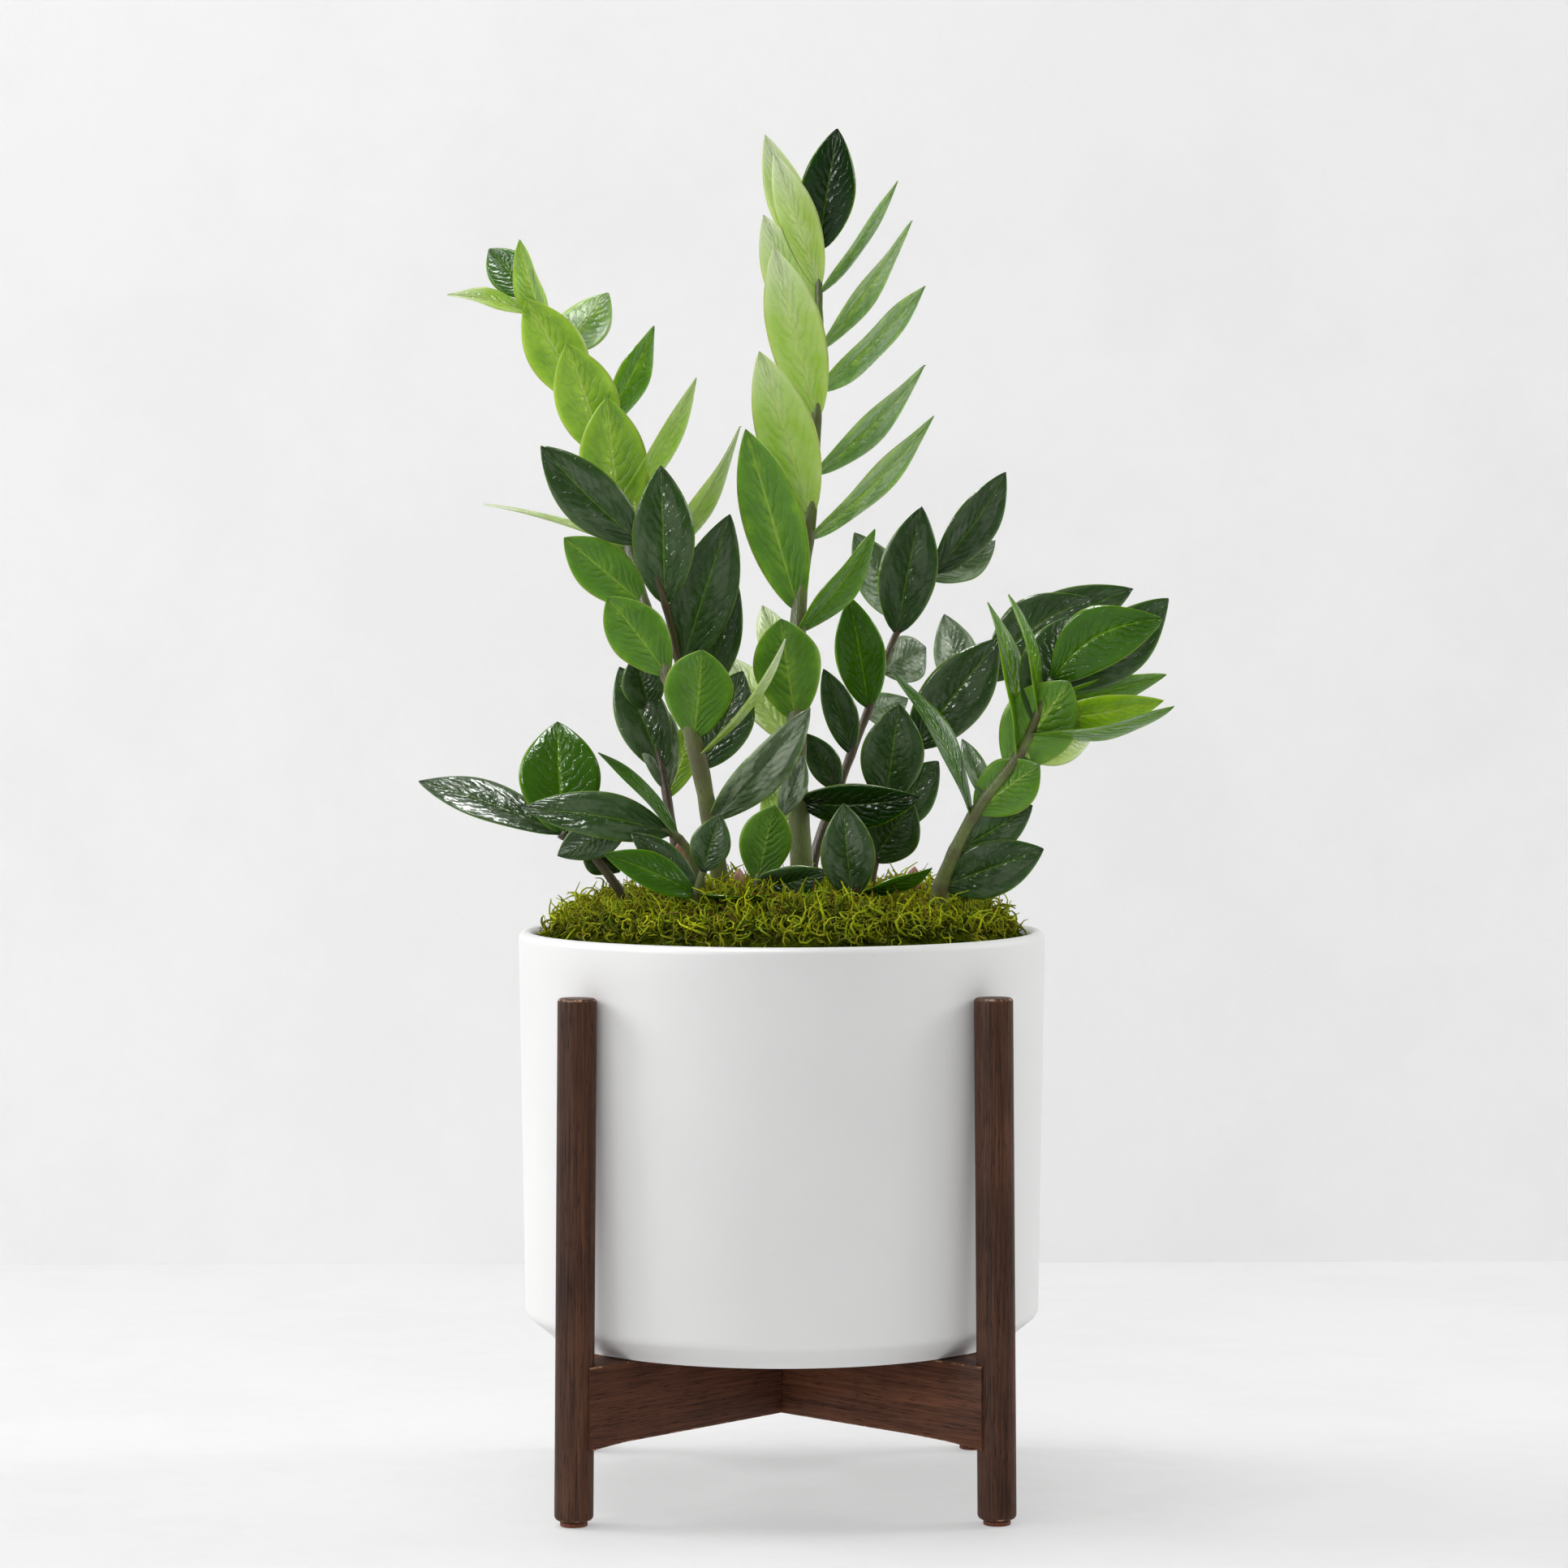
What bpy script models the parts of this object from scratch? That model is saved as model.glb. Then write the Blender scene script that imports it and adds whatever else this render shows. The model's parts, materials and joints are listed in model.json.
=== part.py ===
"""Potted ZZ plant (Zamioculcas) on a crossed-rail wooden stand.

Units are metres, +Z is up, the floor is z = 0 and the pot's axis is the Z axis. The front of the plant
faces -Y. The stand is four round legs and two half-lapped rails; the pot stands on the rails; soil fills
the pot, a moss pad covers the soil, and every frond and sheath passes through the moss into the soil.
"""

import math

import bmesh
import bpy
from mathutils import Matrix, Quaternion, Vector

MM = 0.001

# Clearances between neighbouring pieces.
FIT = 0.3 * MM
SOCKET_FIT = 0.45 * MM

# Pot.
POT_RADIUS = 127.0 * MM
POT_HEIGHT = 195.2 * MM
POT_WALL = 7.4 * MM
POT_FLOOR = 9.0 * MM
POT_DRAFT = 3.2 * MM
POT_FOOT_INSET = 12.0 * MM
POT_FOOT_RISE = 14.0 * MM
POT_FOOT_ROUND = 6.0 * MM
POT_FOOT_EDGE = 1.6 * MM
POT_COVE = 8.0 * MM
POT_FLOOR_INSET = 7.2 * MM
POT_SEGMENTS = 40

# Wooden stand.
LEG_RADIUS = 9.1 * MM
LEG_TOP = 244.8 * MM
LEG_SPLAY = 1.9 * MM
LEG_TO_POT = 0.4 * MM
LEG_TOP_ROUND = 2.0 * MM
LEG_FOOT_ROUND = 2.6 * MM
LEG_SIDES = 20
RAIL_TOP = 74.5 * MM
RAIL_DEPTH = 36.7 * MM
RAIL_END_DROP = 2.1 * MM
RAIL_HORN = 1.0 * MM
DOWEL_RADIUS = 4.0 * MM
DOWEL_SIDES = 12
DOWEL_IN_LEG = 11.0 * MM
DOWEL_IN_RAIL = 16.0 * MM
PAD_RADIUS = 6.4 * MM
PAD_THICKNESS = 2.2 * MM
CUT_PAST = 10.0 * MM

# Soil and moss, measured from the rim of the pot.
SOIL_BELOW_RIM = 25.0 * MM
SOIL_CORNER = 1.0 * MM
SOIL_SHOULDER = 12.0 * MM
SOIL_CROWN_STEP = 2.0 * MM
SOIL_CROWN_INSET = 5.0 * MM
MOSS_CROWN = 16.0 * MM
MOSS_EDGE_BELOW_RIM = 4.0 * MM
MOSS_LUMP = 1.6 * MM
MOSS_SEGMENTS = 28
MOSS_RINGS = 5

# Foliage.
FOLIAGE_SCALE = 1.0
FOLIAGE_BELOW_CROWN = 16.0 * MM
STEM_SIDES = 6
STEM_STEP = 0.66
BLADE_THICKNESS = 1.2 * MM
BLADE_CUP = 0.16
STALK_THICKNESS = 1.6 * MM
STALK_HALF_WIDTH = 1.15 * MM
BLADE_STATIONS = (0.0, 0.1, 0.32, 0.64, 0.89)

# Worked out from the values above.
RAIL_THICKNESS = 2 * (LEG_RADIUS + FIT + RAIL_HORN)
POT_BASE_Z = RAIL_TOP + FIT
RIM_Z = POT_BASE_Z + POT_HEIGHT
SOIL_TOP_Z = RIM_Z - SOIL_BELOW_RIM
FOLIAGE_Z = RIM_Z + MOSS_CROWN - FOLIAGE_BELOW_CROWN
LEG_FOOT_Z = PAD_THICKNESS + FIT

# Fronds. A stem is a smooth run through points (right, back, above FOLIAGE_Z) in millimetres. The first
# point is its seat in the soil. A leaflet is (place on the stem counted in stem points, reach from there to
# its tip (right, back, up), width, roll, arch, bow). Roll is in degrees: 0 turns the upper face to the front
# and 180 turns the underside there. Arch is the rise of the blade's middle towards its upper face, and bow
# is its sideways rise, both as a share of its length; bow may be left out.
FRONDS = {
    "frond_tall": {
        "stem": [(11, 0, -48), (10, 0, 20), (7, 2, 80), (8, 6, 150), (15, 10, 210), (18, 14, 280),
                 (18, 16, 328)],
        "radius": (7.2, 1.5),
        "leaflets": [
            (6.0, (9, -10, 58), 27, 8, 0.05),
            (5.8, (-26, 6, 66), 21, 188, 0.04),
            (5.6, (-22, -20, 63), 20, 160, 0.03),
            (5.05, (-27, -4, 62), 24, 185, 0.04),
            (4.5, (-21, -30, 81), 28, 170, 0.04),
            (3.8, (-25, -30, 80), 29, 170, 0.04),
            (3.05, (-26, -34, 87), 30, 172, 0.04),
            (2.3, (-8, -46, 49), 33, 180, 0.05),
            (2.45, (-16, 30, 45), 20, 10, 0.05),
            (2.1, (-34, 34, 46), 20, 20, 0.05),
            (5.55, (39, 26, 57), 17, 68, 0.06),
            (5.0, (47, 28, 65), 24, 65, 0.05),
            (4.7, (54, 32, 53), 27, 60, 0.05),
            (4.15, (56, 32, 54), 27, 60, 0.05),
            (3.65, (63, 34, 61), 27, 62, 0.05),
            (2.9, (37, -10, 50), 27, 57, 0.05),
            (1.7, (58, -34, 4), 25, 28, 0.06),
        ],
    },
    "frond_left_bright": {
        "stem": [(-20, -14, -48), (-29, -20, 20), (-42, -28, 90), (-55, -24, 123), (-67, -12, 160),
                 (-77, 4, 195), (-90, 12, 240), (-108, 16, 280), (-121, 18, 305)],
        "radius": (5.0, 1.4),
        "leaflets": [
            (2.05, (4, -40, 43), 33, 180, 0.05),
            (3.0, (-28, -24, 37), 28, 175, 0.05),
            (3.9, (-38, -20, 32), 26, 178, 0.05),
            (4.3, (-3, 16, 60), 30, 180, 0.04),
            (5.0, (-7, -12, 61), 33, 178, 0.04),
            (5.75, (-17, -12, 53), 31, 176, 0.04),
            (6.35, (-27, -8, 49), 29, 178, 0.04),
            (7.35, (-14, -6, 43), 22, 232, 0.04),
            (8.0, (-21, 12, 25), 21, 5, 0.03),
            (7.6, (-45, -14, 10), 20, 62, 0.05),
            (7.0, (24, 20, 29), 26, 160, 0.04),
            (6.0, (28, 18, 53), 24, 52, 0.04),
            (5.2, (38, 16, 64), 24, 62, 0.04),
            (4.2, (50, 16, 76), 24, 66, 0.04),
            (1.9, (42, -18, 56), 22, 78, 0.05),
            (1.8, (20, 30, 46), 27, 10, 0.04),
            (1.45, (47, -24, 55), 27, 38, 0.05),
            (4.7, (-70, 4, 22), 16, 80, 0.03),
        ],
    },
    "frond_left_dark": {
        "stem": [(-24, 12, -48), (-30, 10, 20), (-40, 6, 80), (-49, 0, 126), (-57, -21, 160),
                 (-68, -25, 186)],
        "radius": (3.8, 1.5),
        "leaflets": [
            (3.9, (-2, -10, 66), 30, 4, 0.04),
            (3.0, (24, -16, 74), 31, 10, 0.04),
            (5.0, (-47, -4, 46), 28, -4, 0.04),
            (2.5, (24, 10, 62), 20, 20, 0.04),
        ],
    },
    "frond_left_back": {
        "stem": [(-42, 26, -48), (-49, 30, 20), (-57, 36, 70), (-61, 38, 88), (-64, 39, 105)],
        "radius": (2.9, 1.5),
        "leaflets": [
            (2.2, (-21, 6, 51), 26, 5, 0.04),
            (3.0, (-16, 12, 28), 18, 170, 0.03),
            (4.0, (-7, -9, 28), 21, 0, 0.03),
            (1.9, (-9, 14, 48), 22, 20, 0.04),
            (1.8, (16, 6, 44), 16, 170, 0.04),
        ],
    },
    "frond_low_left": {
        "stem": [(-52, -14, -48), (-66, -20, 2), (-75, -24, 16), (-91, -30, 38), (-106, -34, 48)],
        "radius": (3.4, 1.9),
        "leaflets": [
            (4.0, (-69, 30, 24), 23, 38, 0.05),
            (3.9, (-3, 14, 54), 39, 5, 0.08),
            (3.2, (16, 16, -12), 17, 25, 0.03),
        ],
    },
    "frond_low_centre": {
        "stem": [(-30, -38, -48), (-37, -42, 8), (-42, -46, 34), (-53, -50, 49), (-74, -54, 53)],
        "radius": (3.6, 1.6),
        "leaflets": [
            (3.0, (-70, -12, 12), 24, 25, 0.10),
            (4.0, (-33, 8, -15), 20, 172, 0.04),
            (2.75, (-38, -4, 41), 15, 64, 0.05),
        ],
    },
    "frond_short_left": {
        "stem": [(-36, -56, -48), (-40, -62, 4), (-41, -66, 22), (-38, -68, 32)],
        "radius": (2.9, 1.7),
        "leaflets": [
            (1.9, (-43, -14, 20), 19, 30, 0.06),
            (2.0, (-31, 0, 28), 16, 20, 0.05),
            (3.0, (8, -8, 27), 19, 0, 0.05),
            (2.0, (34, -14, -1), 20, 74, 0.05),
        ],
    },
    "frond_young": {
        "stem": [(-8, -26, -48), (-11, -28, 8), (-12, -30, 26), (-7, -28, 46), (-1, -26, 56)],
        "radius": (2.8, 1.4),
        "leaflets": [
            (1.9, (8, -18, 38), 25, 180, 0.05),
            (3.0, (10, 4, 36), 16, 178, 0.04),
            (4.0, (11, 4, 29), 13, 12, 0.04),
            (1.8, (33, -24, 9), 20, 25, 0.08),
        ],
    },
    "frond_centre_right": {
        "stem": [(30, -46, -48), (32, -50, 6), (33, -52, 20), (36, -52, 30)],
        "radius": (2.8, 1.5),
        "leaflets": [
            (1.75, (-5, -12, 46), 26, 5, 0.05),
            (2.0, (36, -20, 14), 17, 60, 0.05),
        ],
    },
    "frond_right_back": {
        "stem": [(36, 6, -48), (42, 8, 20), (50, 12, 60), (59, 17, 80), (68, 22, 92), (86, 30, 110),
                 (102, 33, 124)],
        "radius": (3.8, 1.5),
        "leaflets": [
            (2.05, (6, -12, 48), 31, 5, 0.05),
            (3.6, (41, -14, 54), 33, 12, 0.05),
            (1.6, (30, 12, 34), 24, 10, 0.04),
            (6.0, (50, 0, 36), 31, 5, 0.04, 0.08),
            (5.7, (77, 16, 45), 30, 8, 0.04, 0.06),
            (5.3, (-10, 20, 38), 22, 172, 0.04),
            (1.25, (19, -14, 30), 28, 8, 0.05),
        ],
    },
    "frond_right_tall": {
        "stem": [(8, 28, -48), (15, 33, 26), (29, 42, 68), (44, 54, 106), (57, 62, 141), (77, 72, 173)],
        "radius": (3.2, 1.4),
        "leaflets": [
            (4.05, (12, -10, 63), 29, 4, 0.05),
            (5.0, (36, 0, 50), 26, 30, 0.05),
            (4.9, (34, 22, 20), 22, 150, 0.04),
            (4.25, (-24, 16, 44), 24, 175, 0.04),
            (3.0, (-10, -10, 55), 25, 5, 0.05),
            (2.4, (-14, -8, 42), 17, 10, 0.04),
            (1.95, (-16, -8, 28), 16, 5, 0.04),
            (3.5, (23, 22, 12), 24, 0, 0.04),
            (2.9, (22, 26, 8), 18, 170, 0.04),
        ],
    },
    "frond_right_front": {
        "stem": [(62, -28, -48), (73, -36, 14), (79, -43, 35), (91, -53, 60), (111, -65, 88),
                 (125, -72, 122)],
        "radius": (4.9, 1.9),
        "leaflets": [
            (5.0, (50, -16, 28), 30, 12, 0.05, 0.16),
            (4.9, (57, 12, 41), 30, 15, 0.05, -0.05),
            (4.4, (19, 20, 50), 33, 5, 0.05),
            (3.9, (-14, -6, 73), 26, 65, 0.05),
            (4.5, (-14, -12, 57), 20, 70, 0.05),
            (4.25, (64, -35, 14), 25, 72, 0.05),
            (4.45, (60, 2, 9), 20, 30, 0.05),
            (4.7, (60, 22, 12), 18, 40, 0.05),
            (3.7, (27, -20, 42), 35, 178, 0.05),
            (4.0, (36, 24, 6), 20, 20, 0.04),
            (2.95, (29, -20, 23), 27, 180, 0.05),
            (2.2, (37, -2, 22), 22, 10, 0.05),
            (1.3, (48, -10, 18), 27, 5, 0.05),
            (2.85, (-40, -8, 69), 22, 64, 0.08),
            (3.2, (-10, 14, 28), 11, 20, 0.04),
        ],
    },
    "sheath_left": {
        "stem": [(-45, -29, -40), (-49, -31, 2), (-51, -32, 20)],
        "radius": (2.2, 1.6),
        "leaflets": [(2.0, (3, -3, 26), 12, 10, 0.10)],
    },
    "sheath_centre": {
        "stem": [(-20, -36, -40), (-21, -37, 4), (-21, -38, 20)],
        "radius": (1.8, 1.3),
        "leaflets": [(2.0, (0, -2, 12), 6, 0, 0.10)],
    },
    "sheath_right": {
        "stem": [(60, -20, -40), (61, -21, 4), (61, -22, 19)],
        "radius": (2.0, 1.4),
        "leaflets": [(2.0, (2, -3, 13), 8, 0, 0.10)],
    },
}

LEAF_GREEN = (0.07, 0.22, 0.03)
LIME_GREEN = (0.24, 0.42, 0.04)
DARK_GREEN = (0.03, 0.09, 0.015)
SHEATH_TAN = (0.45, 0.25, 0.16)
FROND_COLOURS = {
    "frond_tall": LIME_GREEN,
    "frond_left_bright": LIME_GREEN,
    "frond_left_dark": DARK_GREEN,
    "frond_left_back": DARK_GREEN,
    "frond_low_left": DARK_GREEN,
    "frond_young": LIME_GREEN,
    "frond_right_tall": DARK_GREEN,
    "frond_right_back": DARK_GREEN,
    "sheath_left": SHEATH_TAN,
    "sheath_centre": SHEATH_TAN,
    "sheath_right": SHEATH_TAN,
}


# ---------------------------------------------------------------- scene helpers

def clear_scene():
    for obj in list(bpy.data.objects):
        bpy.data.objects.remove(obj, do_unlink=True)


def new_collection(name):
    collection = bpy.data.collections.new(name)
    bpy.context.scene.collection.children.link(collection)
    return collection


def make_material(name, colour, roughness, metallic=0.0):
    material = bpy.data.materials.new(name)
    material.use_nodes = True
    shader = material.node_tree.nodes["Principled BSDF"]
    shader.inputs["Base Color"].default_value = (*colour, 1.0)
    shader.inputs["Roughness"].default_value = roughness
    shader.inputs["Metallic"].default_value = metallic
    return material


def add_mesh_object(name, mesh, collection):
    obj = bpy.data.objects.new(name, mesh)
    collection.objects.link(obj)
    return obj


def evaluated_mesh(obj, weld):
    """Mesh of an object with its modifiers applied and its placing baked in; weld joins loose caps."""
    graph = bpy.context.evaluated_depsgraph_get()
    graph.update()
    mesh = bpy.data.meshes.new_from_object(obj.evaluated_get(graph))
    mesh.transform(obj.matrix_world)
    work = bmesh.new()
    work.from_mesh(mesh)
    if weld:
        bmesh.ops.remove_doubles(work, verts=work.verts, dist=0.001 * MM)
    bmesh.ops.triangulate(work, faces=work.faces)
    work.to_mesh(mesh)
    work.free()
    return mesh


def bake(obj, collection, name=None, weld=True):
    """Replace an object by a plain mesh object in the same place."""
    bpy.context.view_layer.update()
    mesh = evaluated_mesh(obj, weld)
    name = name or obj.name
    bpy.data.objects.remove(obj, do_unlink=True)
    mesh.name = name
    return add_mesh_object(name, mesh, collection)


def as_cutter(obj):
    obj.hide_render = True
    obj.display_type = "WIRE"
    return obj


def boolean(target, cutter, operation, solver="EXACT"):
    modifier = target.modifiers.new(cutter.name, "BOOLEAN")
    modifier.operation = operation
    modifier.object = cutter
    modifier.solver = solver


def union_of(name, solids, collection):
    """One closed body from a stem and the blades that grow from it."""
    body = solids[0]
    for branch in solids[1:]:
        boolean(body, branch, "UNION", "MANIFOLD")
        body = bake(body, collection, name, weld=False)
        bpy.data.objects.remove(branch, do_unlink=True)
    return body


def finish(obj, material):
    obj.data.materials.clear()
    obj.data.materials.append(material)
    obj.data.shade_smooth()
    obj.data.set_sharp_from_angle(angle=math.radians(35))


# ---------------------------------------------------------------- shape helpers

def arc(centre, radius, start, end, steps):
    """Points of an arc in the XZ plane, angles in degrees from +X."""
    points = []
    for i in range(steps + 1):
        angle = math.radians(start + (end - start) * i / steps)
        points.append((centre[0] + radius * math.cos(angle), centre[1] + radius * math.sin(angle)))
    return points


def turned(name, profile, segments, collection):
    """Solid of revolution about Z. The profile goes from the axis up, over and down its outer side."""
    mesh = bpy.data.meshes.new(name)
    points = [(x, 0.0, z) for x, z in profile]
    edges = [(i, i + 1) for i in range(len(points) - 1)]
    mesh.from_pydata(points, edges, [])
    obj = add_mesh_object(name, mesh, collection)
    screw = obj.modifiers.new("turn", "SCREW")
    screw.steps = segments
    screw.render_steps = segments
    screw.use_merge_vertices = True
    screw.merge_threshold = 0.00001
    return obj


def cylinder(name, radius, low, high, sides, collection):
    """Capped cylinder between two points, made from a cone primitive of equal radii."""
    axis = Vector(high) - Vector(low)
    work = bmesh.new()
    bmesh.ops.create_cone(work, cap_ends=True, segments=sides, radius1=radius, radius2=radius,
                          depth=axis.length)
    turn = Vector((0, 0, 1)).rotation_difference(axis).to_matrix().to_4x4()
    place = Matrix.Translation((Vector(low) + Vector(high)) / 2) @ turn
    bmesh.ops.transform(work, matrix=place, verts=work.verts)
    mesh = bpy.data.meshes.new(name)
    work.to_mesh(mesh)
    work.free()
    return add_mesh_object(name, mesh, collection)


def spline_point(points, place):
    """Point of a smooth run through the points; place counts points from 0."""
    last = len(points) - 1
    i = min(int(place), last - 1)
    u = place - i
    p1 = points[i]
    p2 = points[i + 1]
    p0 = points[i - 1] if i > 0 else p1 * 2 - p2
    p3 = points[i + 2] if i + 2 <= last else p2 * 2 - p1
    return 0.5 * (2 * p1 + (p2 - p0) * u + (2 * p0 - 5 * p1 + 4 * p2 - p3) * u ** 2
                  + (3 * p1 - p0 - 3 * p2 + p3) * u ** 3)


def tube(name, points, radii, collection):
    """Round tube along the points, with a radius for each point and closed ends."""
    curve = bpy.data.curves.new(name, "CURVE")
    curve.dimensions = "3D"
    curve.bevel_depth = 1.0
    curve.bevel_resolution = (STEM_SIDES - 4) // 2
    curve.use_fill_caps = True
    spline = curve.splines.new("POLY")
    spline.points.add(len(points) - 1)
    for knot, point, radius in zip(spline.points, points, radii):
        knot.co = (*point, 1.0)
        knot.radius = radius
    obj = bpy.data.objects.new(name, curve)
    collection.objects.link(obj)
    return bake(obj, collection)


# ---------------------------------------------------------------- pot, soil and moss

def pot_radius_at(z):
    """Outer radius of the pot's wall at a height."""
    return POT_RADIUS - POT_DRAFT * (RIM_Z - z) / POT_HEIGHT


def pot_inner_radius_at(z):
    return pot_radius_at(z) - POT_WALL


def pot_floor_radius():
    """Radius of the flat part of the pot's floor, inside its cove."""
    return pot_inner_radius_at(POT_BASE_Z + POT_FLOOR + POT_COVE) - POT_FLOOR_INSET - POT_COVE


def make_pot(collection):
    base = POT_BASE_Z
    floor = base + POT_FLOOR
    lip = POT_WALL / 2
    shoulder = base + POT_FOOT_RISE
    wall_foot = pot_radius_at(shoulder)
    foot = wall_foot - POT_FOOT_INSET
    round_centre = (wall_foot - POT_FOOT_ROUND, shoulder)
    profile = [(0.0, floor)]
    profile += arc((pot_floor_radius(), floor + POT_COVE), POT_COVE, -90, -35, 3)
    profile += [(pot_inner_radius_at(shoulder + POT_COVE), shoulder + POT_COVE)]
    profile += [(pot_inner_radius_at(RIM_Z - lip), RIM_Z - lip)]
    profile += arc((POT_RADIUS - lip, RIM_Z - lip), lip, 180, 0, 6)[1:]
    profile += [(wall_foot, shoulder + POT_FOOT_ROUND / 2)]
    profile += arc(round_centre, POT_FOOT_ROUND, 0, -45, 3)
    profile += [(foot, base + POT_FOOT_EDGE), (foot - POT_FOOT_EDGE, base), (0.0, base)]
    return turned("pot", profile, POT_SEGMENTS, collection)


def make_soil(sockets, collection):
    bottom = POT_BASE_Z + POT_FLOOR + FIT
    shoulder = POT_BASE_Z + POT_FOOT_RISE + SOIL_SHOULDER
    crown_edge = SOIL_TOP_Z - SOIL_CROWN_STEP
    low_radius = pot_floor_radius() - SOIL_CORNER
    profile = [(0.0, bottom), (low_radius, bottom)]
    profile += [(pot_inner_radius_at(shoulder) - 2 * FIT, shoulder)]
    profile += [(pot_inner_radius_at(crown_edge) - 2 * FIT, crown_edge)]
    profile += [(pot_inner_radius_at(SOIL_TOP_Z) - SOIL_CROWN_INSET, SOIL_TOP_Z), (0.0, SOIL_TOP_Z)]
    soil = turned("soil", profile[::-1], MOSS_SEGMENTS, collection)
    return drilled(soil, sockets, collection)


def moss_height(x, y, radius):
    """Height of the moss pad's top over the rim: a low crown with soft lumps, lower at its edge."""
    share = min(1.0, math.hypot(x, y) / radius)
    crown = (MOSS_CROWN + MOSS_EDGE_BELOW_RIM) * (1 - share ** 2.6) - MOSS_EDGE_BELOW_RIM
    lumps = math.sin(90 * x + 1.3) * math.sin(110 * y + 0.4) + 0.6 * math.sin(190 * x - 150 * y)
    return crown + MOSS_LUMP * lumps * (1 - share ** 4)


def make_moss(sockets, collection):
    bottom = SOIL_TOP_Z + FIT
    radius = pot_inner_radius_at(bottom) - 2 * FIT
    edge = RIM_Z - MOSS_EDGE_BELOW_RIM
    profile = [(0.0, edge)]
    profile += [(radius * i / MOSS_RINGS, edge) for i in range(1, MOSS_RINGS)]
    profile += [(radius, edge - 2 * MM), (radius, bottom), (0.0, bottom)]
    moss = bake(turned("moss", profile, MOSS_SEGMENTS, collection), collection)
    for vertex in moss.data.vertices:
        if vertex.co.z > edge - 0.5 * MM:
            vertex.co.z = RIM_Z + moss_height(vertex.co.x, vertex.co.y, radius)
    return drilled(moss, sockets, collection)


def drilled(body, cutters, collection):
    """The body with a socket for each stem."""
    for cutter in cutters:
        boolean(body, cutter, "DIFFERENCE")
    return bake(body, collection)


# ---------------------------------------------------------------- stand

def leg_reach(z):
    """Distance of a leg's centre from each vertical mid plane, at a height."""
    top = (pot_radius_at(LEG_TOP) + LEG_TO_POT + LEG_RADIUS) / math.sqrt(2)
    return top + LEG_SPLAY * (LEG_TOP - z) / LEG_TOP


def leg_centre(side_x, side_y, z):
    reach = leg_reach(z)
    return Vector((side_x * reach, side_y * reach, z))


def leg_profile():
    length = LEG_TOP - LEG_FOOT_Z
    foot = LEG_FOOT_ROUND
    top = LEG_TOP_ROUND
    profile = [(0.0, 0.0)]
    profile += arc((LEG_RADIUS - foot, foot), foot, -90, 0, 2)
    profile += arc((LEG_RADIUS - top, length - top), top, 0, 90, 2)
    profile += [(0.0, length)]
    return profile[::-1]


def make_leg(name, side_x, side_y, cutters_list, collection):
    leg = turned(name, leg_profile(), LEG_SIDES, collection)
    low = leg_centre(side_x, side_y, LEG_FOOT_Z)
    high = leg_centre(side_x, side_y, LEG_TOP)
    turn = Vector((0, 0, 1)).rotation_difference(high - low)
    leg.matrix_world = Matrix.Translation(low) @ turn.to_matrix().to_4x4()
    leg = bake(leg, collection)
    return drilled(leg, cutters_list, collection)


def make_pad(name, side_x, side_y, collection):
    centre = leg_centre(side_x, side_y, LEG_FOOT_Z)
    low = (centre.x, centre.y, 0.0)
    high = (centre.x, centre.y, PAD_THICKNESS)
    return cylinder(name, PAD_RADIUS, low, high, LEG_SIDES, collection)


def rail_half_length():
    """Rail's reach from the stand's axis: its coped ends wrap the legs as far as their centres."""
    return math.sqrt(2) * leg_reach(RAIL_TOP)


def rail_outline():
    """Side view of a rail: straight top, and a bottom edge that drops a little towards each end."""
    half = rail_half_length()
    top = RAIL_TOP
    points = [(-half, top), (half, top)]
    steps = 12
    for i in range(steps + 1):
        x = half * (1 - 2 * i / steps)
        drop = RAIL_END_DROP * abs(x / half) ** 6
        points.append((x, top - RAIL_DEPTH - drop))
    return points


def make_rail(name, angle, lap_low, lap_high, cutters_list, collection, cutters):
    """Rail on edge, turned about Z, with a half lap between two heights at its middle."""
    curve = bpy.data.curves.new(name, "CURVE")
    curve.dimensions = "2D"
    curve.fill_mode = "BOTH"
    curve.extrude = RAIL_THICKNESS / 2
    outline = rail_outline()
    spline = curve.splines.new("POLY")
    spline.points.add(len(outline) - 1)
    for knot, point in zip(spline.points, outline):
        knot.co = (point[0], point[1], 0.0, 1.0)
    spline.use_cyclic_u = True
    rail = bpy.data.objects.new(name, curve)
    collection.objects.link(rail)
    turn = Matrix.Rotation(angle, 4, "Z")
    rail.matrix_world = turn @ Matrix.Rotation(math.radians(90), 4, "X")
    rail = bake(rail, collection)
    lap = lap_block(name + "_lap", lap_low, lap_high, turn, cutters)
    return drilled(rail, [lap] + cutters_list, collection)


def lap_block(name, low, high, turn, cutters):
    size = (RAIL_THICKNESS + 2 * FIT, 2 * RAIL_THICKNESS, high - low)
    work = bmesh.new()
    bmesh.ops.create_cube(work, size=1.0)
    bmesh.ops.scale(work, vec=size, verts=work.verts)
    bmesh.ops.translate(work, vec=(0, 0, (low + high) / 2), verts=work.verts)
    bmesh.ops.transform(work, matrix=turn, verts=work.verts)
    mesh = bpy.data.meshes.new(name)
    work.to_mesh(mesh)
    work.free()
    return as_cutter(add_mesh_object(name, mesh, cutters))


def dowel_ends(side_x, side_y, extra):
    """Ends of the hidden dowel that ties a rail to a leg, lengthened by extra at each end."""
    height = RAIL_TOP - RAIL_DEPTH / 2
    leg = leg_centre(side_x, side_y, height)
    outward = Vector((side_x, side_y, 0)).normalized()
    face = LEG_RADIUS + FIT
    outer = leg + outward * (DOWEL_IN_LEG - LEG_RADIUS + extra)
    inner = leg - outward * (face + DOWEL_IN_RAIL + extra)
    return inner, outer


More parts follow.
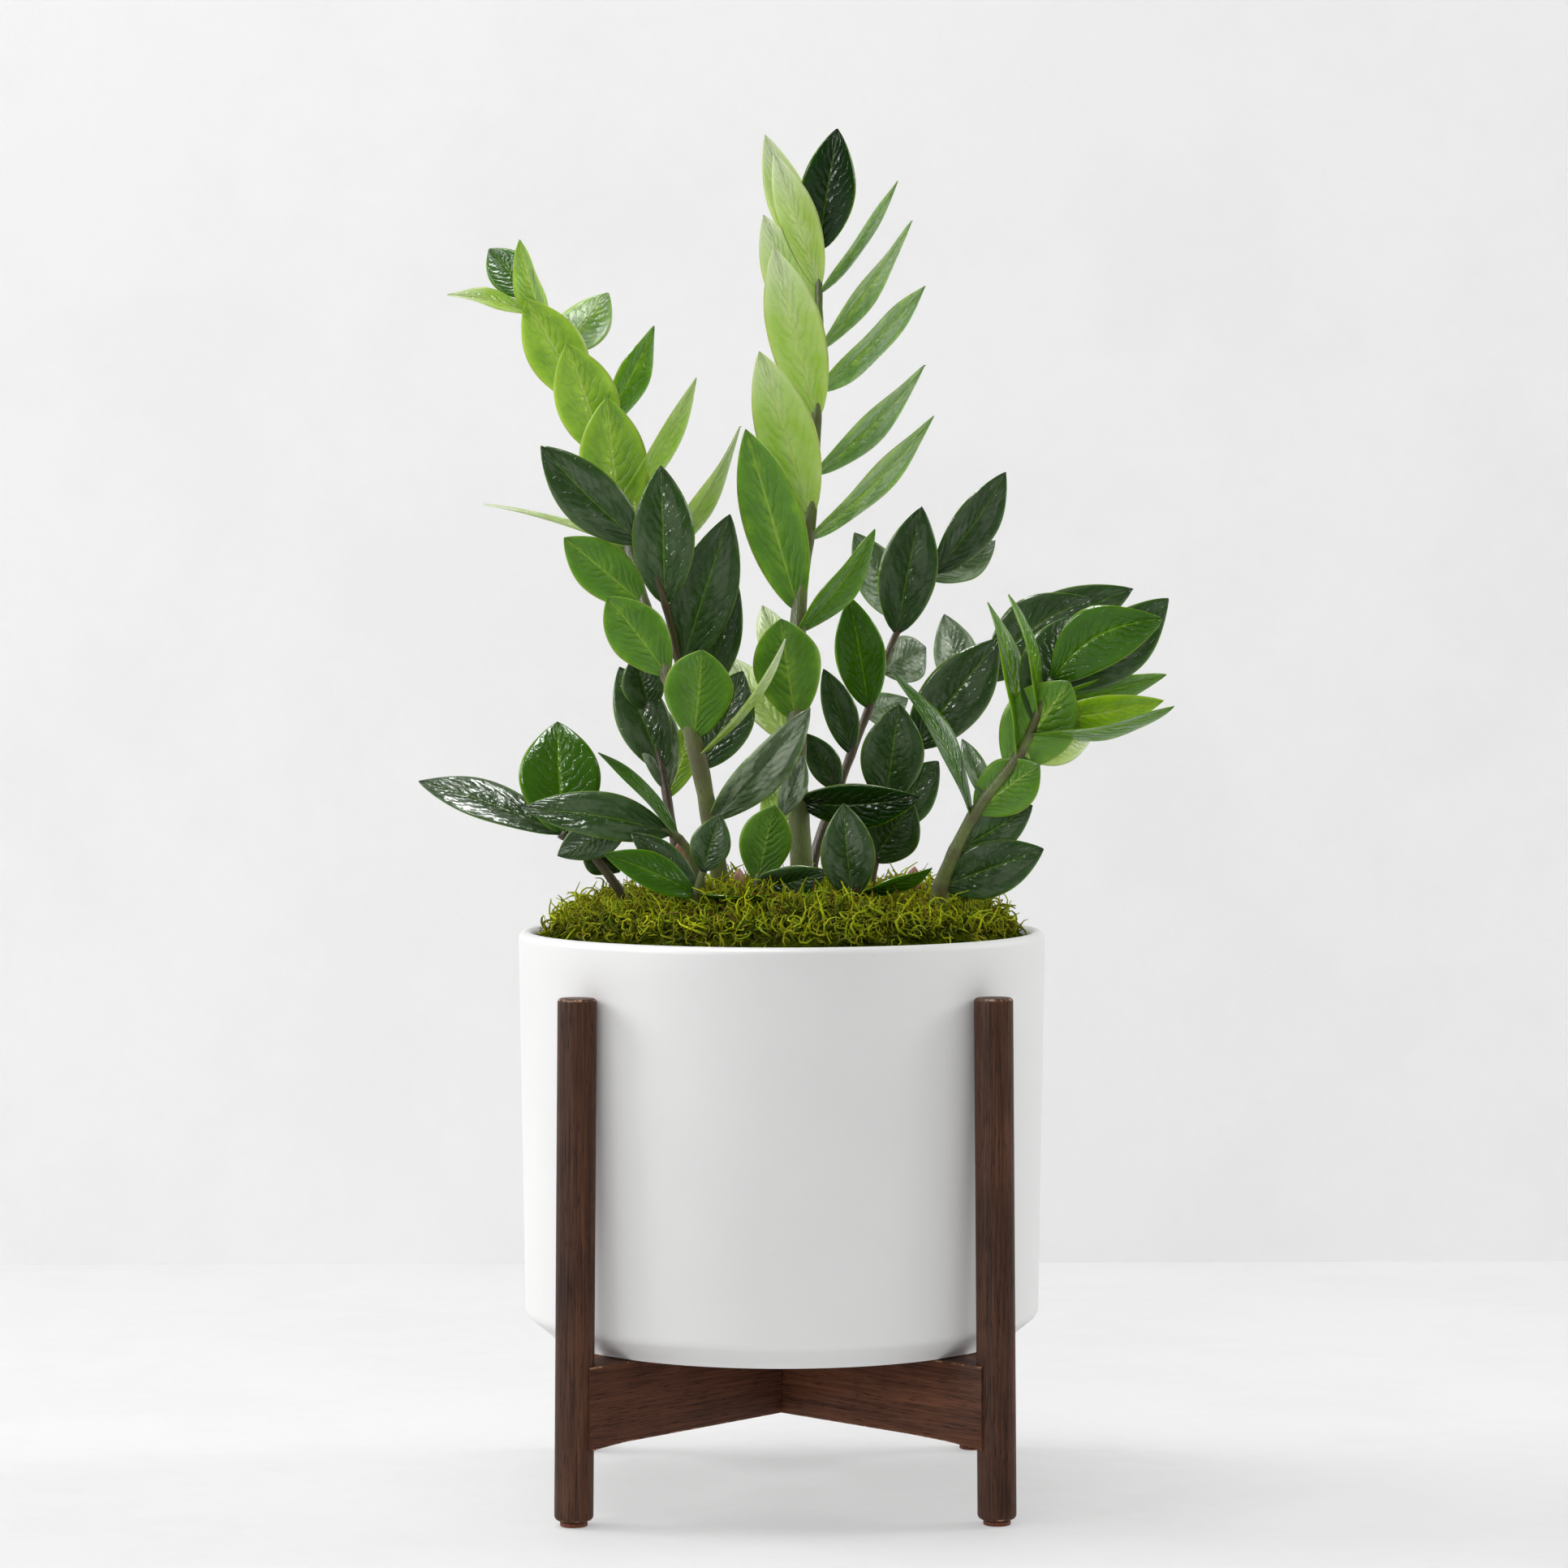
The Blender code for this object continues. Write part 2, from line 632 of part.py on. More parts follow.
def make_stand(collection, cutters):
    sides = {"front_left": (-1, -1), "front_right": (1, -1), "back_left": (-1, 1), "back_right": (1, 1)}
    made = []
    copes = {}
    bores = {}
    for place, (sx, sy) in sides.items():
        low = leg_centre(sx, sy, -CUT_PAST)
        high = leg_centre(sx, sy, LEG_TOP + CUT_PAST)
        copes[place] = as_cutter(cylinder("cope_" + place, LEG_RADIUS + FIT, low, high, LEG_SIDES, cutters))
        inner, outer = dowel_ends(sx, sy, FIT)
        bore = cylinder("bore_" + place, DOWEL_RADIUS + FIT, inner, outer, DOWEL_SIDES, cutters)
        bores[place] = as_cutter(bore)
    for place, (sx, sy) in sides.items():
        made.append(make_leg("leg_" + place, sx, sy, [bores[place]], collection))
        made.append(make_pad("foot_pad_" + place, sx, sy, collection))
        inner, outer = dowel_ends(sx, sy, 0.0)
        made.append(cylinder("dowel_" + place, DOWEL_RADIUS, inner, outer, DOWEL_SIDES, collection))
    middle = RAIL_TOP - RAIL_DEPTH / 2
    above = RAIL_TOP + CUT_PAST
    below = RAIL_TOP - RAIL_DEPTH - CUT_PAST
    ends_a = ["back_left", "front_right"]
    ends_b = ["front_left", "back_right"]
    cut_a = [copes[p] for p in ends_a] + [bores[p] for p in ends_a]
    cut_b = [copes[p] for p in ends_b] + [bores[p] for p in ends_b]
    turn = math.radians(45)
    made.append(make_rail("rail_lower_lap", -turn, middle - FIT / 2, above, cut_a, collection, cutters))
    made.append(make_rail("rail_upper_lap", turn, below, middle + FIT / 2, cut_b, collection, cutters))
    return made


# ---------------------------------------------------------------- foliage

def foliage_point(point):
    """Point of the foliage table in metres: across and back from the pot's axis, and up from FOLIAGE_Z."""
    return Vector(point) * MM * FOLIAGE_SCALE + Vector((0, 0, FOLIAGE_Z))


def stem_stations(frond):
    last = len(frond["stem"]) - 1
    count = max(4, round(last / STEM_STEP))
    return [last * i / count for i in range(count + 1)]


def stem_radius(frond, place):
    """Radius of the stem at a place: thick at its base, thinner towards its tip."""
    base, tip = frond["radius"]
    share = place / (len(frond["stem"]) - 1)
    return (tip + (base - tip) * (1 - share) ** 1.5) * MM * FOLIAGE_SCALE


def make_stem(name, frond, extra, top, collection):
    """Stem as far as its first station above the height called top, with its radius enlarged by extra."""
    points = [foliage_point(p) for p in frond["stem"]]
    stations = stem_stations(frond)
    under = [s for s in stations if spline_point(points, s).z < top]
    stations = stations[:len(under) + 1]
    run = [spline_point(points, s) for s in stations]
    if extra > 0:
        run[0] = run[0] - (run[1] - run[0]).normalized() * extra
    radii = [stem_radius(frond, s) + extra for s in stations]
    return tube(name, run, radii, collection)


def blade_half_width(share, half):
    """Half width of a leaflet along its length: a narrow stalk, a broad middle and a pointed tip."""
    oval = math.sin(math.pi * share ** 0.95) ** 0.68
    return max(half * oval, STALK_HALF_WIDTH * FOLIAGE_SCALE)


def blade_axes(reach, roll):
    """Unit vectors of a leaflet: along its midrib, across it, and out of its upper face."""
    along = reach.normalized()
    front = Vector((0, -1, 0))
    face = (front - along * front.dot(along)).normalized()
    face = Quaternion(along, math.radians(roll)) @ face
    return along, along.cross(face), face


def make_blade(name, frond, leaflet, collection):
    """Leaflet as a thin closed body: a bowed midrib with a diamond section at each station."""
    place, reach, width, roll, arch = leaflet[:5]
    bow = leaflet[5] if len(leaflet) > 5 else 0.0
    points = [foliage_point(p) for p in frond["stem"]]
    root = spline_point(points, place)
    reach = Vector(reach) * MM * FOLIAGE_SCALE
    along, across, face = blade_axes(reach, roll)
    upward = across if across.z > 0 else -across
    half = width / 2 * MM * FOLIAGE_SCALE
    work = bmesh.new()
    rings = []
    for share in BLADE_STATIONS:
        swell = reach.length * math.sin(math.pi * share)
        middle = root + reach * share + face * (arch * swell) + upward * (bow * swell)
        side = blade_half_width(share, half)
        thick = (BLADE_THICKNESS if share > 0.1 else STALK_THICKNESS) / 2
        cup = face * (BLADE_CUP * side)
        ring = [middle - across * side + cup, middle - face * thick, middle + across * side + cup,
                middle + face * thick]
        rings.append([work.verts.new(v) for v in ring])
    tip = work.verts.new(root + reach)
    work.faces.new(rings[0])
    for low, high in zip(rings, rings[1:]):
        for i in range(4):
            j = (i + 1) % 4
            work.faces.new((low[i], high[i], high[j], low[j]))
    for i in range(4):
        work.faces.new((rings[-1][i], tip, rings[-1][(i + 1) % 4]))
    bmesh.ops.recalc_face_normals(work, faces=work.faces)
    bmesh.ops.triangulate(work, faces=work.faces)
    mesh = bpy.data.meshes.new(name)
    work.to_mesh(mesh)
    work.free()
    return add_mesh_object(name, mesh, collection)


def make_frond(name, frond, collection, cutters):
    solids = [make_stem(name + "_stem", frond, 0.0, math.inf, cutters)]
    for i, leaflet in enumerate(frond["leaflets"]):
        solids.append(make_blade(f"{name}_leaflet_{i}", frond, leaflet, cutters))
    return union_of(name, solids, collection)


def make_sockets(cutters):
    """Enlarged lower stems that open the holes in the soil and the moss."""
    above_moss = RIM_Z + MOSS_CROWN + 3 * MOSS_LUMP
    sockets = []
    for name, frond in FRONDS.items():
        socket = make_stem("socket_" + name, frond, SOCKET_FIT, above_moss, cutters)
        sockets.append(as_cutter(socket))
    return sockets


# ---------------------------------------------------------------- assembly

def build():
    clear_scene()
    parts = new_collection("potted_zz_plant")
    cutters = new_collection("cutters")
    cutters.hide_render = True
    glaze = make_material("glaze", (0.75, 0.76, 0.77), 0.45)
    wood = make_material("wood", (0.055, 0.026, 0.014), 0.5)
    felt = make_material("pad_felt", (0.25, 0.11, 0.06), 0.9)
    earth = make_material("earth", (0.05, 0.03, 0.02), 0.95)
    moss_green = make_material("moss_green", (0.35, 0.38, 0.03), 0.9)
    finish(make_pot(parts), glaze)
    for piece in make_stand(parts, cutters):
        finish(piece, felt if piece.name.startswith("foot_pad") else wood)
    sockets = make_sockets(cutters)
    finish(make_soil(sockets, parts), earth)
    finish(make_moss(sockets, parts), moss_green)
    for name, frond in FRONDS.items():
        colour = FROND_COLOURS.get(name, LEAF_GREEN)
        finish(make_frond(name, frond, parts, cutters), make_material("leaf_" + name, colour, 0.35))


build()
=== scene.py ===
"""Potted ZZ plant on a crossed-rail stand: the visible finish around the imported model.

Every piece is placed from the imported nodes' boxes or from the same table of fronds as the CAD model.
Metres, +Z up, floor at z = 0, the pot's axis is the Z axis, and the front of the plant faces -Y.
"""

import json
import math

import bmesh
import bpy
from mathutils import Matrix, Quaternion, Vector, noise


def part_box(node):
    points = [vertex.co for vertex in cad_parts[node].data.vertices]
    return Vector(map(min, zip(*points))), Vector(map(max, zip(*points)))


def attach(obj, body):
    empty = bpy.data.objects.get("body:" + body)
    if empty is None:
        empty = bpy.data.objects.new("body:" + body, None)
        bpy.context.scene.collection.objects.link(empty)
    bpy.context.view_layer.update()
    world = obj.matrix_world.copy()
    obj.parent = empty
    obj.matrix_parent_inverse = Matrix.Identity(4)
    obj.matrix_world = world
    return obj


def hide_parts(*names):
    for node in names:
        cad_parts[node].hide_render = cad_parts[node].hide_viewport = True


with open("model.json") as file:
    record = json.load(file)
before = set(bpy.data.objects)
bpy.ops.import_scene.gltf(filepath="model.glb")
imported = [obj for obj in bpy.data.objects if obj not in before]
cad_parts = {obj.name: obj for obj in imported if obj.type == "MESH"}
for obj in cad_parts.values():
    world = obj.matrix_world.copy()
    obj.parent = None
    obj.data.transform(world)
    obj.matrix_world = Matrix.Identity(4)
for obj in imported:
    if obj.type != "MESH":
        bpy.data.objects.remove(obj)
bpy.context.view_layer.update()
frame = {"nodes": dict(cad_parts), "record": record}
RIM_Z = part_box("pot")[1].z
MM = 0.001

# Pot, leg, rail and pad sizes that the nodes' boxes don't give.
POT_WALL = 7.4 * MM
POT_DRAFT = 3.2 * MM
POT_FLOOR = 9.0 * MM
POT_FOOT_INSET = 12.0 * MM
POT_FOOT_RISE = 14.0 * MM
POT_FOOT_ROUND = 6.0 * MM
LEG_RADIUS = 9.1 * MM
LEG_TOP_ROUND = 1.8 * MM
LEG_FOOT_ROUND = 2.6 * MM
RAIL_HALF_THICKNESS = 10.4 * MM
RAIL_ROUND = 0.9 * MM
PAD_ROUND = 0.5 * MM
POT_COVE = 8.0 * MM
POT_TOE_ROUND = 1.6 * MM
LEG_END_GAP = 0.05 * MM
LEG_RUB = (0.2 * MM, 1.2 * MM)
LEG_TOP_RUB = 1.3 * MM
AXIS_WELD = 0.002 * MM
MESH_WELD = 0.005 * MM

# Moss, measured from the pot's rim.
MOSS_CROWN = 16.0 * MM
MOSS_EDGE_BELOW_RIM = 4.0 * MM
MOSS_LUMP = 4.6 * MM
MOSS_GAP = 0.3 * MM
STRANDS_FROM = 6.0 * MM

# Moss strands: the painted shade at the roots, the colours of darker and lighter strands, and the inputs of
# their tree.
MOSS_SETS = {
    "moss_bright": (
        "strand_bright", (0.012, 0.028, 0.001), (0.11, 0.22, 0.003), (0.70, 0.74, 0.014),
        {"Density": 7.5e4, "Curl Radius": 0.0055, "Rise": 0.007, "Turns": 0.5, "Thickness": 0.0008,
         "Tilt": 1.0, "Reach": 0.1095, "Seed": 3}),
    "moss_olive": (
        "strand_olive", (0.012, 0.022, 0.001), (0.075, 0.12, 0.002), (0.48, 0.47, 0.01),
        {"Density": 9.5e4, "Curl Radius": 0.0037, "Rise": 0.004, "Turns": 0.6, "Thickness": 0.0008,
         "Tilt": 1.2, "Reach": 0.1125, "Seed": 8}),
    "moss_bits": (
        "strand_brown", (0.02, 0.01, 0.005), (0.09, 0.04, 0.012), (0.36, 0.2, 0.05),
        {"Density": 1.8e4, "Curl Radius": 0.009, "Rise": 0.006, "Turns": 0.25, "Thickness": 0.0004,
         "Tilt": 1.2, "Reach": 0.104, "Seed": 21}),
}

# Strand shapes: share of the turns, of the curl radius and of the rise.
STRAND_SHAPES = ((0.55, 1.0, 1.0), (0.85, 0.75, 1.3), (0.4, 1.25, 0.6), (1.1, 0.6, 0.8), (0.3, 1.5, 1.5))

# Leaflets and stems.
BLADE_STATIONS = 26
BLADE_ACROSS = (-1.0, -0.86, -0.64, -0.42, -0.2, -0.07, 0.0, 0.07, 0.2, 0.42, 0.64, 0.86, 1.0)
BLADE_THICKNESS = 0.75 * MM
BLADE_CUP = 0.16
BLADE_FOLD = 0.34
VEIN_PAIRS = 10.0
VEIN_SLANT = 3.2
MIDRIB_GROOVE = 0.28 * MM
MIDRIB_RIDGE = 0.45 * MM
STALK_HALF_WIDTH = 1.15 * MM
STEM_SIDES = 14
STEM_STEP = 0.125
NODE_REACH = 0.09
NODE_SWELL = 0.16

# Looks of a leaflet: tone from darkest (0) to palest (1), and its grey share. The palest tones are partly the
# leaves' own colour and partly painted glow of light shining through them; the grey share is partly a greyer
# skin and partly painted sheen.
LOOKS = {
    "black": (0.0, 0.0),
    "dark": (0.2, 0.09),
    "blue": (0.22, 0.14),
    "mid": (0.48, 0.0),
    "bright": (0.68, 0.0),
    "lime": (0.84, 0.0),
    "light": (0.93, 0.05),
    "pale": (1.0, 0.05),
    "sage": (0.74, 0.34),
    "grey": (0.4, 0.36),
    "silver": (0.3, 0.6),
}

# Light and room.
SKY_STRENGTH = 0.5
SKY_GLOSS_STRENGTH = 0.15
PLANT_MIDDLE = (0.0, 0.0, 0.35)
LEAVES_MIDDLE = (0.0, 0.0, 0.45)
# Each lamp: place, target, width, height, watts, seen in matte light, seen in reflections.
LAMPS = {
    "window_left": ((-3.3, 0.6, 1.9), PLANT_MIDDLE, 1.6, 1.7, 78.0, True, True),
    "window_right": ((2.6, 0.6, 1.5), PLANT_MIDDLE, 1.0, 1.2, 32.0, True, True),
    "skylight": ((-0.7, 0.1, 2.5), PLANT_MIDDLE, 1.2, 0.6, 12.0, True, True),
    "front_fill": ((-0.7, -2.6, 1.5), PLANT_MIDDLE, 2.0, 1.4, 18.0, True, False),
    "sheen_left": ((-2.3, -1.5, 1.5), LEAVES_MIDDLE, 0.45, 1.1, 95.0, False, True),
    "sheen_top": ((-0.5, -0.3, 2.3), LEAVES_MIDDLE, 1.2, 0.4, 80.0, False, True),
}
WALL_Y = 0.77
WALL_HALF_WIDTH = 1.7
WALL_TOP = 2.6
WALL_ALBEDO = 0.8
WALL_GLOW = 0.12
FLOOR_HALF_WIDTH = 4.0
FLOOR_FRONT = -2.6
FLOOR_ALBEDO = 0.40
FLOOR_GLOW = 0.36
CAMERA_PLACE = (-0.038, -2.199, 0.4167)
CAMERA_LENS = 104.71
CAMERA_SENSOR = 36.0
CAMERA_TILT = math.radians(90 - 1.988)
CAMERA_TO_RIGHT = math.atan2(0.039, 2.199)

# Fronds, as in the CAD model: a stem through points (right, back, above the rim) in millimetres, and
# leaflets of (place on the stem, reach to the tip, width, roll, arch, look, bow).
FRONDS = {
    "frond_tall": {
        "stem": [(11, 0, -48), (10, 0, 20), (7, 2, 80), (8, 6, 150),
                 (15, 10, 210), (18, 14, 280), (18, 16, 328)],
        "radius": (7.2, 1.5),
        "leaflets": [
            (6.0, (9, -10, 58), 27, 8, 0.05, "black"),
            (5.8, (-26, 6, 66), 21, 188, 0.04, "pale"),
            (5.6, (-22, -20, 63), 20, 160, 0.03, "pale"),
            (5.05, (-27, -4, 62), 24, 185, 0.04, "pale"),
            (4.5, (-21, -30, 81), 28, 170, 0.04, "light"),
            (3.8, (-25, -30, 80), 29, 170, 0.04, "light"),
            (3.05, (-26, -34, 87), 30, 172, 0.04, "bright"),
            (2.3, (-8, -46, 49), 33, 180, 0.05, "bright"),
            (2.45, (-16, 30, 45), 20, 10, 0.05, "pale"),
            (2.1, (-34, 34, 46), 20, 20, 0.05, "pale"),
            (5.55, (39, 26, 57), 17, 68, 0.02, "sage"),
            (5.0, (47, 28, 65), 24, 65, 0.02, "sage"),
            (4.7, (54, 32, 53), 27, 60, 0.02, "sage"),
            (4.15, (56, 32, 54), 27, 60, 0.02, "sage"),
            (3.65, (63, 34, 61), 27, 62, 0.02, "sage"),
            (2.9, (37, -10, 50), 27, 57, 0.05, "bright"),
            (1.7, (58, -34, 4), 25, 28, 0.06, "black"),
        ],
    },
    "frond_left_bright": {
        "stem": [(-20, -14, -48), (-29, -20, 20), (-42, -28, 90), (-55, -24, 123), (-67, -12, 160),
                 (-77, 4, 195), (-90, 12, 240), (-108, 16, 280), (-121, 18, 305)],
        "radius": (5.0, 1.4),
        "leaflets": [
            (2.05, (4, -40, 43), 33, 180, 0.05, "bright"),
            (3.0, (-28, -24, 37), 28, 175, 0.05, "bright"),
            (3.9, (-38, -20, 32), 26, 178, 0.05, "bright"),
            (4.3, (-3, 16, 60), 30, 180, 0.04, "lime"),
            (5.0, (-7, -12, 61), 33, 178, 0.04, "lime"),
            (5.75, (-17, -12, 53), 31, 176, 0.04, "lime"),
            (6.35, (-27, -8, 49), 29, 178, 0.04, "lime"),
            (7.35, (-14, -6, 43), 22, 232, 0.04, "lime"),
            (8.0, (-21, 12, 25), 21, 5, 0.03, "mid"),
            (7.6, (-45, -14, 10), 20, 62, 0.05, "light"),
            (7.0, (24, 20, 29), 26, 160, 0.04, "sage"),
            (6.0, (28, 18, 53), 24, 52, 0.04, "bright"),
            (5.2, (38, 16, 64), 24, 62, 0.04, "light"),
            (4.2, (50, 16, 76), 24, 66, 0.04, "light"),
            (1.9, (42, -18, 56), 22, 78, 0.05, "pale"),
            (1.8, (20, 30, 46), 27, 10, 0.04, "dark"),
            (1.45, (47, -24, 55), 27, 38, 0.05, "silver"),
            (4.7, (-70, 4, 22), 16, 80, 0.03, "pale"),
        ],
    },
    "frond_left_dark": {
        "stem": [(-24, 12, -48), (-30, 10, 20), (-40, 6, 80), (-49, 0, 126),
                 (-57, -21, 160), (-68, -25, 186)],
        "radius": (3.8, 1.5),
        "leaflets": [
            (3.9, (-2, -10, 66), 30, 4, 0.04, "dark"),
            (3.0, (24, -16, 74), 31, 10, 0.04, "dark"),
            (5.0, (-47, -4, 46), 28, -4, 0.04, "dark"),
            (2.5, (24, 10, 62), 20, 20, 0.04, "dark"),
        ],
    },
    "frond_left_back": {
        "stem": [(-42, 26, -48), (-49, 30, 20), (-57, 36, 70), (-61, 38, 88), (-64, 39, 105)],
        "radius": (2.9, 1.5),
        "leaflets": [
            (2.2, (-21, 6, 51), 26, 5, 0.04, "blue"),
            (3.0, (-16, 12, 28), 18, 170, 0.03, "grey"),
            (4.0, (-7, -9, 28), 21, 0, 0.03, "dark"),
            (1.9, (-9, 14, 48), 22, 20, 0.04, "silver"),
            (1.8, (16, 6, 44), 16, 170, 0.04, "lime"),
        ],
    },
    "frond_low_left": {
        "stem": [(-52, -14, -48), (-66, -20, 2), (-75, -24, 16), (-91, -30, 38), (-106, -34, 48)],
        "radius": (3.4, 1.9),
        "leaflets": [
            (4.0, (-69, 30, 24), 23, 38, 0.05, "dark"),
            (3.9, (-3, 14, 54), 39, 5, 0.08, "mid"),
            (3.2, (16, 16, -12), 17, 25, 0.03, "dark"),
        ],
    },
    "frond_low_centre": {
        "stem": [(-30, -38, -48), (-37, -42, 8), (-42, -46, 34), (-53, -50, 49), (-74, -54, 53)],
        "radius": (3.6, 1.6),
        "leaflets": [
            (3.0, (-70, -12, 12), 24, 25, 0.1, "dark"),
            (4.0, (-33, 8, -15), 20, 172, 0.04, "blue"),
            (2.75, (-38, -4, 41), 15, 64, 0.05, "mid"),
        ],
    },
    "frond_short_left": {
        "stem": [(-36, -56, -48), (-40, -62, 4), (-41, -66, 22), (-38, -68, 32)],
        "radius": (2.9, 1.7),
        "leaflets": [
            (1.9, (-43, -14, 20), 19, 30, 0.06, "mid"),
            (2.0, (-31, 0, 28), 16, 20, 0.05, "dark"),
            (3.0, (8, -8, 27), 19, 0, 0.05, "blue"),
            (2.0, (34, -14, -1), 20, 74, 0.05, "mid"),
        ],
    },
    "frond_young": {
        "stem": [(-8, -26, -48), (-11, -28, 8), (-12, -30, 26), (-7, -28, 46), (-1, -26, 56)],
        "radius": (2.8, 1.4),
        "leaflets": [
            (1.9, (8, -18, 38), 25, 180, 0.05, "bright"),
            (3.0, (10, 4, 36), 16, 178, 0.04, "light"),
            (4.0, (11, 4, 29), 13, 12, 0.04, "silver"),
            (1.8, (33, -24, 9), 20, 25, 0.08, "dark"),
        ],
    },
    "frond_centre_right": {
        "stem": [(30, -46, -48), (32, -50, 6), (33, -52, 20), (36, -52, 30)],
        "radius": (2.8, 1.5),
        "leaflets": [
            (1.75, (-5, -12, 46), 26, 5, 0.05, "blue"),
            (2.0, (36, -20, 14), 17, 60, 0.05, "mid"),
        ],
    },
    "frond_right_back": {
        "stem": [(36, 6, -48), (42, 8, 20), (50, 12, 60), (59, 17, 80),
                 (68, 22, 92), (86, 30, 110), (102, 33, 124)],
        "radius": (3.8, 1.5),
        "leaflets": [
            (2.05, (6, -12, 48), 31, 5, 0.05, "dark"),
            (3.6, (41, -14, 54), 33, 12, 0.05, "dark"),
            (1.6, (30, 12, 34), 24, 10, 0.04, "dark"),
            (6.0, (50, 0, 36), 31, 5, 0.04, "dark", 0.08),
            (5.7, (77, 16, 45), 30, 8, 0.04, "dark", 0.06),
            (5.3, (-10, 20, 38), 22, 172, 0.04, "silver"),
            (1.25, (19, -14, 30), 28, 8, 0.05, "dark"),
        ],
    },
    "frond_right_tall": {
        "stem": [(8, 28, -48), (15, 33, 26), (29, 42, 68), (44, 54, 106), (57, 62, 141), (77, 72, 173)],
        "radius": (3.2, 1.4),
        "leaflets": [
            (4.05, (12, -10, 63), 29, 4, 0.05, "dark"),
            (5.0, (36, 0, 50), 26, 30, 0.05, "dark"),
            (4.9, (34, 22, 20), 22, 150, 0.04, "grey"),
            (4.25, (-24, 16, 44), 24, 175, 0.04, "grey"),
            (3.0, (-10, -10, 55), 25, 5, 0.05, "mid"),
            (2.4, (-14, -8, 42), 17, 10, 0.04, "dark"),
            (1.95, (-16, -8, 28), 16, 5, 0.04, "dark"),
            (3.5, (23, 22, 12), 24, 0, 0.04, "silver"),
            (2.9, (22, 26, 8), 18, 170, 0.04, "grey"),
        ],
    },
    "frond_right_front": {
        "stem": [(62, -28, -48), (73, -36, 14), (79, -43, 35), (91, -53, 60),
                 (111, -65, 88), (125, -72, 122)],
        "radius": (4.9, 1.9),
        "leaflets": [
            (5.0, (50, -16, 28), 30, 12, 0.05, "mid", 0.16),
            (4.9, (57, 12, 41), 30, 15, 0.05, "dark", -0.05),
            (4.4, (19, 20, 50), 33, 5, 0.05, "dark"),
            (3.9, (-14, -6, 73), 26, 65, 0.05, "bright"),
            (4.5, (-14, -12, 57), 20, 70, 0.05, "bright"),
            (4.25, (64, -35, 14), 25, 72, 0.05, "bright"),
            (4.45, (60, 2, 9), 20, 30, 0.05, "lime"),
            (4.7, (60, 22, 12), 18, 40, 0.05, "bright"),
            (3.7, (27, -20, 42), 35, 178, 0.05, "bright"),
            (4.0, (36, 24, 6), 20, 20, 0.04, "pale"),
            (2.95, (29, -20, 23), 27, 180, 0.05, "bright"),
            (2.2, (37, -2, 22), 22, 10, 0.05, "dark"),
            (1.3, (48, -10, 18), 27, 5, 0.05, "dark"),
            (2.85, (-40, -8, 69), 22, 64, 0.08, "mid"),
            (3.2, (-10, 14, 28), 11, 20, 0.04, "grey"),
        ],
    },
    "sheath_left": {
        "stem": [(-45, -29, -40), (-49, -31, 2), (-51, -32, 20)],
        "radius": (2.2, 1.6),
        "leaflets": [
            (2.0, (3, -3, 26), 12, 10, 0.1, "mid"),
        ],
    },
    "sheath_centre": {
        "stem": [(-20, -36, -40), (-21, -37, 4), (-21, -38, 20)],
        "radius": (1.8, 1.3),
        "leaflets": [
            (2.0, (0, -2, 12), 6, 0, 0.1, "mid"),
        ],
    },
    "sheath_right": {
        "stem": [(60, -20, -40), (61, -21, 4), (61, -22, 19)],
        "radius": (2.0, 1.4),
        "leaflets": [
            (2.0, (2, -3, 13), 8, 0, 0.1, "mid"),
        ],
    },
}


# ---------------------------------------------------------------- mesh helpers

def link(name, mesh):
    piece = bpy.data.objects.new(name, mesh)
    bpy.context.scene.collection.objects.link(piece)
    return piece


def finish_piece(piece, slot, *nodes):
    """Ride on the model's one body and stand for the CAD nodes, which are hidden; slot is not used."""
    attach(piece, "root")
    if nodes:
        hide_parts(*nodes)
    return piece


def slot_of(node):
    for row in frame["record"]["subparts"]:
        if row["node"] == node:
            return row["material_slot"]
    raise ValueError(node)


def arc(centre, radius, start, end, steps):
    """Points of an arc in the XZ plane, angles in degrees from +X."""
    points = []
    for i in range(steps + 1):
        angle = math.radians(start + (end - start) * i / steps)
        points.append((centre[0] + radius * math.cos(angle), centre[1] + radius * math.sin(angle)))
    return points


def run(start, end, steps):
    """Points on a straight line, both ends left out."""
    return [tuple(a + (b - a) * i / steps for a, b in zip(start, end)) for i in range(1, steps)]


# ---------------------------------------------------------------- node helpers

def new_node(tree, kind, inputs=None, **settings):
    node = tree.nodes.new(kind)
    for key, value in settings.items():
        setattr(node, key, value)
    for key, value in (inputs or {}).items():
        if isinstance(value, bpy.types.NodeSocket):
            tree.links.new(value, node.inputs[key])
        else:
            node.inputs[key].default_value = value
    return node


def maths(tree, operation, *values):
    node = tree.nodes.new("ShaderNodeMath")
    node.operation = operation
    for socket, value in zip(node.inputs, values):
        if isinstance(value, bpy.types.NodeSocket):
            tree.links.new(value, socket)
        else:
            socket.default_value = value
    return node.outputs[0]


def times(tree, first, second):
    return maths(tree, "MULTIPLY", first, second)


def plus(tree, first, second):
    return maths(tree, "ADD", first, second)


def minus(tree, first, second):
    return maths(tree, "SUBTRACT", first, second)


def remap(tree, value, low, high, out_low=0.0, out_high=1.0):
    """Smooth step from out_low to out_high while value goes from low to high."""
    node = new_node(tree, "ShaderNodeMapRange", {0: value, 1: low, 2: high, 3: out_low, 4: out_high},
                    interpolation_type="SMOOTHSTEP")
    return node.outputs[0]


def blend_colour(tree, share, first, second, mode="MIX"):
    node = tree.nodes.new("ShaderNodeMix")
    node.data_type = "RGBA"
    node.blend_type = mode
    for index, value in ((0, share), (6, first), (7, second)):
        if isinstance(value, bpy.types.NodeSocket):
            tree.links.new(value, node.inputs[index])
        elif index == 0:
            node.inputs[0].default_value = value
        else:
            node.inputs[index].default_value = (*value, 1.0)
    return node.outputs[2]


